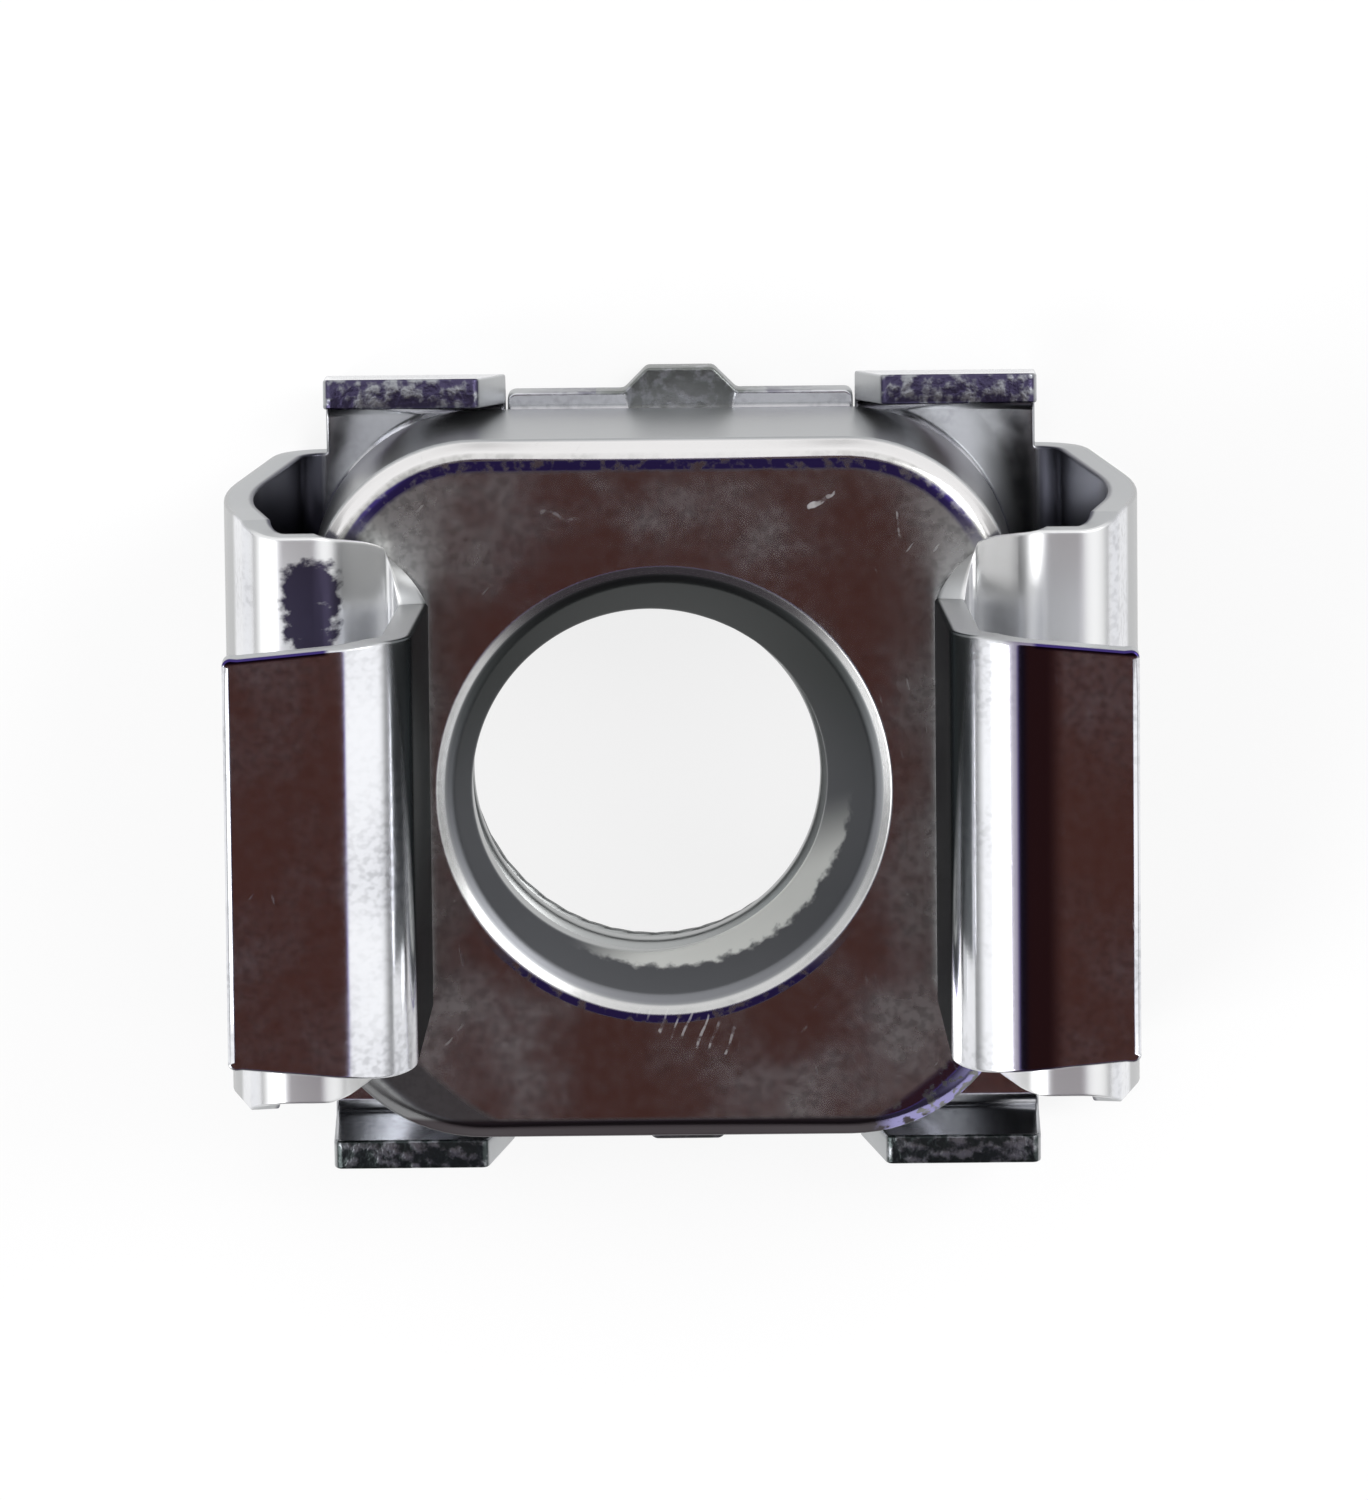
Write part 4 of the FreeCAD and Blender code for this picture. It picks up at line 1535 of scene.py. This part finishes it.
    def build(self) -> bpy.types.Object:
        """Cuts the blank and folds it.

        Returns:
            The finished piece.
        """
        route = self.route()
        blank = Blank(self.outline(route), self.hole_radius, self.strip)
        blank.sharp_corners_rounded(self.plan_corner)
        arc = self.tab_radius * math.radians(90 - self.tab_lean)
        sheet = blank.build(
            (self.base_across + self.wing_line_gap, route.length - self.lip_corner),
            (self.tab_start + self.tab_line_gap, self.tab_start + arc + self.tab_line_gap),
        )
        self.mark_torn(sheet)
        tab_inner = self.tab_inner - self.tab_slit / 2
        fold = BendTree("fold_cage", tuple(route.bends), self.tab_bend(), tab_inner, self.strip / 2)
        tree, values = fold.build()
        values["Finish"] = self.finish.build()
        return apply_tree(sheet, tree, values, "spring_cage_folded")


@dataclass(frozen=True)
class ThreadTree:
    """The Geometry Nodes tree that cuts a thread and its two entries into a plain bore."""

    name: str
    thickness: float
    pitch: float = 1.0
    minor_radius: float = 2.46
    bore_shift: float = 0.25
    thread_depth: float = 0.54
    thread_start: float = 0.95
    thread_full: float = 1.5
    start_turn: float = 0.35
    flank: tuple[float, float] = (0.2, 0.9)
    front_rim: float = 3.2
    front_steep: float = 3.06
    front_slope: float = math.sqrt(3.0)
    steep_slope: float = 0.7
    back_rim: float = 3.1
    front_blend: float = 0.04
    entry_blend: float = 0.03
    cone_soft: float = 0.02
    step_depth: tuple[float, float] = (0.05, 0.08)
    rim_depth: tuple[float, float] = (0.4, 0.5)
    rim_shine: float = 0.5

    def build(self) -> tuple[bpy.types.NodeTree, dict[str, float]]:
        """Makes the tree.

        Returns:
            The tree and the values of its inputs.
        """
        sizes = {
            "Pitch": self.pitch, "Minor radius": self.minor_radius, "Bore shift": self.bore_shift,
            "Thread depth": self.thread_depth, "Thickness": self.thickness,
            "Thread start": self.thread_start, "Thread full": self.thread_full,
            "Front rim": self.front_rim, "Front steep rim": self.front_steep, "Back rim": self.back_rim,
        }
        values = {label: size * MM for label, size in sizes.items()}
        values["Start turn"] = self.start_turn
        graph, given, place = start_tree(self.name, list(values))
        angle = graph.math("ARCTAN2", place[1], place[0])
        turns = graph.math("SUBTRACT", graph.math("DIVIDE", place[2], given["Pitch"]),
                           graph.math("DIVIDE", angle, 2 * math.pi))
        phase = graph.math("FRACT", graph.math("ADD", turns, given["Start turn"]))
        sawtooth = graph.math("MULTIPLY_ADD", phase, 2.0, -1.0)
        tooth = graph.math("SUBTRACT", 1.0, graph.math("ABSOLUTE", sawtooth))
        cut = graph.ramp(tooth, *self.flank)
        depth = graph.math("SUBTRACT", given["Thickness"], place[2])
        begun = graph.ramp(depth, given["Thread start"], given["Thread full"])
        groove = graph.product(cut, begun)
        round_it = graph.math("MULTIPLY_ADD", groove, given["Thread depth"], given["Minor radius"])
        sine, cosine = graph.math("SINE", angle), graph.math("COSINE", angle)
        aside, ahead = (graph.product(given["Bore shift"], part) for part in (sine, cosine))
        chord = graph.math("SUBTRACT", graph.product(round_it, round_it), graph.product(aside, aside))
        thread = graph.math("SUBTRACT", graph.math("SQRT", chord), ahead)
        shallow = graph.math("MULTIPLY_ADD", depth, -self.front_slope, given["Front rim"])
        steep = graph.math("MULTIPLY_ADD", depth, -self.steep_slope, given["Front steep rim"])
        front = graph.math("SMOOTH_MAX", shallow, steep, self.front_blend * MM)
        back = graph.math("SUBTRACT", given["Back rim"], place[2])
        entries = graph.math("MAXIMUM", front, back)
        radius = graph.math("SMOOTH_MAX", thread, entries, self.entry_blend * MM)
        feeds = {0: graph.product(radius, cosine), 1: graph.product(radius, sine), 2: place[2]}
        wall = graph.add("ShaderNodeCombineXYZ", feeds)
        bore = graph.add("GeometryNodeInputNamedAttribute", {"Name": BORE}, data_type="FLOAT").outputs[0]
        chosen = graph.math("GREATER_THAN", bore, MIDDLE)
        moved = graph.add("GeometryNodeSetPosition", {
            "Geometry": given["Geometry"], "Selection": chosen, "Position": wall.outputs[0],
        })
        past = graph.math("SUBTRACT", front, thread)
        coned = graph.ramp(past, -self.cone_soft * MM, self.cone_soft * MM)
        steeper = graph.ramp(depth, *(level * MM for level in self.step_depth))
        in_front = graph.ramp(depth, *(level * MM for level in self.rim_depth), 1.0, 0.0)
        rim = graph.product(coned, in_front, graph.math("SUBTRACT", 1.0, steeper))
        marks = {
            CONE: graph.product(coned, steeper),
            BORE: graph.math("MULTIPLY_ADD", rim, -self.rim_shine, 1.0),
        }
        marked = moved
        for name, value in marks.items():
            feeds = {"Geometry": marked.outputs[0], "Selection": chosen, "Name": name, "Value": value}
            marked = graph.add(
                "GeometryNodeStoreNamedAttribute", feeds, data_type="FLOAT", domain="POINT"
            )
        return end_tree(graph, given, marked.outputs[0]), values


@dataclass
class SquareNut:
    """The loose nut: rounded corners, chamfered edges, corner cones, and a threaded bore."""

    finish: ZincFinish
    half: float = 5.0
    thickness: float = 3.2
    corner_radius: float = 2.4
    chamfer: float = 0.22
    cone_inset: float = 0.06
    cone_angle: float = 30.0
    edge_soft: float = 0.05
    least_radius: float = 0.05
    centre: Point = (-0.27, 0.07)
    seat: float = 0.42
    flat_steps: int = 30
    corner_steps: int = 20
    side_steps: int = 8
    sheared_edge: float = 0.04
    line_inset: tuple[float, float] = (0.26, 0.42)
    insets: tuple[float, ...] = (
        0.0, 0.015, 0.04, 0.08, 0.13, 0.18, 0.22, 0.25, 0.28, 0.31, 0.35, 0.4, 0.46, 0.52, 0.58, 0.66, 0.8,
    )
    front_shares: tuple[float, ...] = (0.2, 0.4, 0.6, 0.8, 0.93, 0.985)
    back_shares: tuple[float, ...] = (0.985, 0.9, 0.7, 0.45, 0.2)
    rim_margin: float = 0.02
    bore_start: float = 3.0
    mouth_depths: tuple[float, ...] = (
        0.0, 0.004, 0.01, 0.018, 0.028, 0.04, 0.054, 0.07, 0.088, 0.106, 0.124, 0.142, 0.16, 0.18, 0.2,
    )
    depth_step: float = 0.024
    last_gap: float = 0.03

    def angles(self) -> list[float]:
        """The rays that the rings are drawn on, closer together round the corners."""
        low = math.atan2(self.half - self.corner_radius, self.half)
        found = []
        for side in range(4):
            turn = side * math.pi / 2
            found += [turn - low + 2 * low * step / self.flat_steps for step in range(self.flat_steps)]
            corner = math.pi / 2 - 2 * low
            found += [turn + low + corner * step / self.corner_steps for step in range(self.corner_steps)]
        return found

    def reach(self, angle: float, inset: float) -> float:
        """How far the rounded square reaches along a ray.

        Args:
            angle: The ray's angle.
            inset: How far the square is drawn in.

        Returns:
            The distance from the centre.
        """
        half = self.half - inset
        radius = max(self.corner_radius - inset, self.least_radius)
        ray = (abs(math.cos(angle)), abs(math.sin(angle)))
        arm = half - radius
        flat = half / max(ray)
        if min(ray) * flat <= arm:
            return flat
        along = arm * (ray[0] + ray[1])
        return along + math.sqrt(max(along ** 2 - 2 * arm ** 2 + radius ** 2, 0.0))

    def top_level(self, angle: float, radius: float) -> float:
        """Level of the front face at a point, with its edge chamfer and the corner cone.

        Args:
            angle: The point's angle.
            radius: Its distance from the centre.

        Returns:
            The level above the back face.
        """
        corner = self.half * math.sqrt(2) - self.corner_radius * (math.sqrt(2) - 1)
        cone_start = corner - self.chamfer - self.cone_inset
        edge = self.reach(angle, 0.0) - radius
        bevel = self.chamfer - edge
        cone = (radius - cone_start) * math.tan(math.radians(self.cone_angle))
        drop = max(bevel, cone)
        return self.thickness - soft_positive(drop, self.edge_soft)

    def build(self) -> bpy.types.Object:
        """Draws the rings, closes them and cuts the thread.

        Returns:
            The finished piece.
        """
        rays = self.angles()
        shell = bmesh.new()
        marks = {name: shell.verts.layers.float.new(name) for name in (BORE, CUT, LINE)}
        rows: list[list[bmesh.types.BMVert]] = []

        def ring(radii: list[float], levels: list[float], marked: dict[str, bool] | None = None) -> None:
            """Adds one ring of points, with the named marks set."""
            row = []
            for angle, radius, level in zip(rays, radii, levels):
                made = shell.verts.new((radius * math.cos(angle), radius * math.sin(angle), level))
                for name, value in (marked or {}).items():
                    made[marks[name]] = float(value)
                row.append(made)
            rows.append(row)

        def faces_ring(inset: float, top: bool) -> None:
            """A ring on the front or the back face, this far in from the outline."""
            radii = [self.reach(angle, inset) for angle in rays]
            if top:
                levels = [self.top_level(angle, radius) for angle, radius in zip(rays, radii)]
            else:
                levels = [soft_positive(self.chamfer - inset, self.edge_soft) for _ in rays]
            low, high = self.line_inset
            ring(radii, levels, {CUT: inset < self.sheared_edge, LINE: top and low < inset < high})

        thread = ThreadTree("cut_thread", self.thickness)
        count = len(rays)
        for inset in reversed(self.insets):
            faces_ring(inset, False)
        foot = self.chamfer + self.edge_soft
        side = [self.reach(angle, 0.0) for angle in rays]
        heads = [self.top_level(angle, radius) - self.edge_soft for angle, radius in zip(rays, side)]
        for step in range(self.side_steps + 1):
            share = step / self.side_steps
            ring(side, [foot + (head - foot) * share for head in heads], {CUT: True})
        for inset in self.insets:
            faces_ring(inset, True)
        edge = [self.reach(angle, self.insets[-1]) for angle in rays]
        rim = thread.front_rim + self.rim_margin
        for share in self.front_shares:
            ring([start + (rim - start) * share for start in edge], [self.thickness] * count)
        depths = list(self.mouth_depths)
        while depths[-1] < self.thickness - self.last_gap:
            depths.append(depths[-1] + self.depth_step)
        for depth in [*depths, self.thickness]:
            ring([self.bore_start] * count, [self.thickness - depth] * count, {BORE: True})
        rim = thread.back_rim + self.rim_margin
        for share in self.back_shares:
            ring([start + (rim - start) * share for start in edge], [0.0] * count)
        for upper, lower in zip(rows, rows[1:] + rows[:1]):
            for number in range(count):
                other = (number + 1) % count
                shell.faces.new((upper[number], upper[other], lower[other], lower[number]))
        plain = mesh_object("plain_nut", shell)
        tree, values = thread.build()
        values["Finish"] = self.finish.build()
        nut = apply_tree(plain, tree, values, "square_nut_threaded")
        nut.data.transform(Matrix.Translation(Vector((*self.centre, self.seat)) * MM))
        return nut


def soft_positive(value: float, width: float) -> float:
    """The value where it is positive and 0 elsewhere, with a rounded change between the two.

    Args:
        value: Any number.
        width: Width of the rounded part on each side.

    Returns:
        The softened number.
    """
    if value <= -width:
        return 0.0
    if value >= width:
        return value
    return (value + width) ** 2 / (4 * width)


@dataclass(frozen=True)
class Studio:
    """Floor, world, lamps and camera."""

    tilt: float = 10.273
    yaw: float = -0.236
    roll: float = 0.604
    distance: float = 193.55
    lens: float = 323.6
    clip: tuple[float, float] = (0.005, 20.0)
    brightness: float = 1.16
    low_light: float = 0.34
    pole_guard: float = 1.0001
    behind_span: tuple[float, float] = (0.0, 0.6)
    dusk_beside: tuple[float, float] = (0.06, 0.36)
    dusk_behind: tuple[float, float] = (-0.02, 0.1)
    front_span: tuple[float, float] = (-0.86, -0.7)
    front_colour: Colour = (0.06, 0.05, 0.06)
    card_radius: float = 18.0
    card_soft: float = 2.0
    card_side: tuple[float, float] = (-0.2, -0.06)
    card_colour: Colour = (0.062, 0.022, 0.017)
    card_shade: Colour = (0.012, 0.007, 0.016)
    rim_colour: Colour = (0.22, 0.17, 0.5)
    floor_reach: float = 3.0
    floor_colour: Colour = (0.88, 0.88, 0.88)
    floor_white: float = 0.82
    lamp_size: float = 0.3
    lamp_places: tuple[tuple[str, Colour, float], ...] = (
        ("lamp_left", (-0.35, -0.2, 0.4), 1.2),
        ("lamp_right", (0.35, 0.25, 0.4), 1.0),
    )

    def axes(self) -> tuple[Vector, Vector, Vector]:
        """The camera's right, up and backward directions.

        Returns:
            Three unit vectors.
        """
        t, w, r = (math.radians(value) for value in (self.tilt, self.yaw, self.roll))
        right = Vector((
            math.cos(w) * math.cos(r) - math.sin(w) * math.sin(t) * math.sin(r),
            -math.cos(t) * math.sin(r),
            math.sin(w) * math.cos(r) + math.cos(w) * math.sin(t) * math.sin(r),
        ))
        back = Vector((-math.sin(w) * math.cos(t), math.sin(t), math.cos(w) * math.cos(t)))
        return right, back.cross(right), back

    def camera(self) -> None:
        """Puts the camera at the photograph's viewing angle and distance."""
        right, up, back = self.axes()
        data = bpy.data.cameras.new("camera")
        data.lens = self.lens
        data.clip_start, data.clip_end = self.clip
        camera = linked("camera", data)
        place = Matrix((right, up, back)).transposed().to_4x4()
        place.translation = back * self.distance * MM
        camera.matrix_world = place
        bpy.context.scene.camera = camera

    def floor(self) -> None:
        """A plain pale floor that the part lies on."""
        mesh = bpy.data.meshes.new("floor")
        signs = ((-1, -1), (1, -1), (1, 1), (-1, 1))
        corners = [(x * self.floor_reach, y * self.floor_reach, 0.0) for x, y in signs]
        mesh.from_pydata(corners, [], [(0, 1, 2, 3)])
        floor = linked("floor", mesh)
        material = bpy.data.materials.new("pale_floor")
        material.use_nodes = True
        material.node_tree.nodes.clear()
        graph = NodeGraph(material.node_tree)
        path = graph.add("ShaderNodeLightPath").outputs
        mirrored = graph.math("MAXIMUM", path["Is Glossy Ray"], path["Is Transmission Ray"])
        seen = graph.math("MAXIMUM", path["Is Camera Ray"], mirrored)
        matt = graph.add("ShaderNodeBsdfDiffuse", {"Color": (*self.floor_colour, 1.0)})
        white = graph.add("ShaderNodeEmission", {"Color": (1.0, 1.0, 1.0, 1.0), "Strength": 1.0})
        share = graph.product(seen, self.floor_white)
        mixed = graph.add("ShaderNodeMixShader", {0: share, 1: matt.outputs[0], 2: white.outputs[0]})
        graph.add("ShaderNodeOutputMaterial", {"Surface": mixed.outputs[0]})
        mesh.materials.append(material)

    def world(self) -> None:
        """White light from above and behind, dull low at the sides, dark in front and on one patch."""
        world = bpy.data.worlds.new("soft_light")
        bpy.context.scene.world = world
        world.use_nodes = True
        graph = NodeGraph(world.node_tree)
        background = world.node_tree.nodes["Background"]
        direction = graph.add("ShaderNodeTexCoord").outputs["Generated"]
        parts = graph.add("ShaderNodeSeparateXYZ", {0: direction}).outputs
        height = graph.product(parts[2], parts[2])
        level = graph.math("SQRT", graph.math("SUBTRACT", self.pole_guard, height))
        behind = graph.math("DIVIDE", parts[1], level)
        start, end = (
            graph.ramp(behind, *self.behind_span, *ends) for ends in zip(self.dusk_beside, self.dusk_behind)
        )
        bright = graph.ramp(parts[2], start, end, self.low_light, self.brightness)
        grey = graph.add("ShaderNodeCombineColor", {0: bright, 1: bright, 2: bright}).outputs[0]
        front = graph.ramp(behind, *self.front_span, 1.0, 0.0)
        shaded = graph.blend(front, grey, self.front_colour)

        back = self.axes()[2]
        feeds = {0: direction, 1: (-back.x, -back.y, back.z)}
        near = graph.add("ShaderNodeVectorMath", feeds, operation="DOT_PRODUCT").outputs["Value"]
        patch = graph.blend(
            graph.ramp(parts[0], *self.card_side, 1.0, 0.0), self.card_colour, self.card_shade
        )
        inner, middle, outer = (
            math.cos(math.radians(self.card_radius + step)) for step in (-self.card_soft, 0.0, self.card_soft)
        )
        ringed = graph.blend(graph.ramp(near, outer, middle), shaded, self.rim_colour)
        colour = graph.blend(graph.ramp(near, middle, inner), ringed, patch)
        graph.feed(background.inputs["Color"], colour)

    def lamps(self) -> None:
        """Two large soft lamps, one on each side."""
        for name, place, power in self.lamp_places:
            data = bpy.data.lights.new(name, "AREA")
            data.shape, data.size, data.energy = "DISK", self.lamp_size, power
            lamp = linked(name, data)
            lamp.location = place
            lamp.rotation_mode = "QUATERNION"
            lamp.rotation_quaternion = Vector(place).to_track_quat("Z", "Y")

    def build(self) -> None:
        """Sets the whole studio up."""
        self.camera()
        self.floor()
        self.world()
        self.lamps()
        bpy.context.scene.view_settings.view_transform = "Standard"


CAGE_ZINC = CageZinc(
    name="cage_zinc_bright",
    colour=(0.80, 0.81, 0.84),
    shade=(0.66, 0.67, 0.71),
    cut_colour=(0.46, 0.47, 0.48),
    gloss=0.11,
    haze=0.2,
    cut_roughness=0.4,
)
NUT_ZINC = NutZinc(
    name="nut_zinc_satin",
    colour=(0.72, 0.71, 0.71),
    shade=(0.40, 0.40, 0.385),
    cut_colour=(0.4, 0.41, 0.42),
    gloss=0.13,
    haze=0.33,
    cut_roughness=0.34,
    side_haze=0.85,
)


def main() -> None:
    """Loads the frame, builds the two pieces and the studio, and reports each piece."""
    logging.basicConfig(level=logging.INFO, format="%(name)s: %(message)s")
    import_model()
    for piece, node, slot in (
        (SpringCage(CAGE_ZINC).build(), "spring_cage", "cage_zinc"),
        (SquareNut(NUT_ZINC).build(), "square_nut", "nut_zinc"),
    ):
        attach(piece, "root")
        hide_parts(node)
        LOG.info("%s: %d faces", piece.name, len(piece.data.polygons))
    Studio().build()


if __name__ == "__main__":
    main()
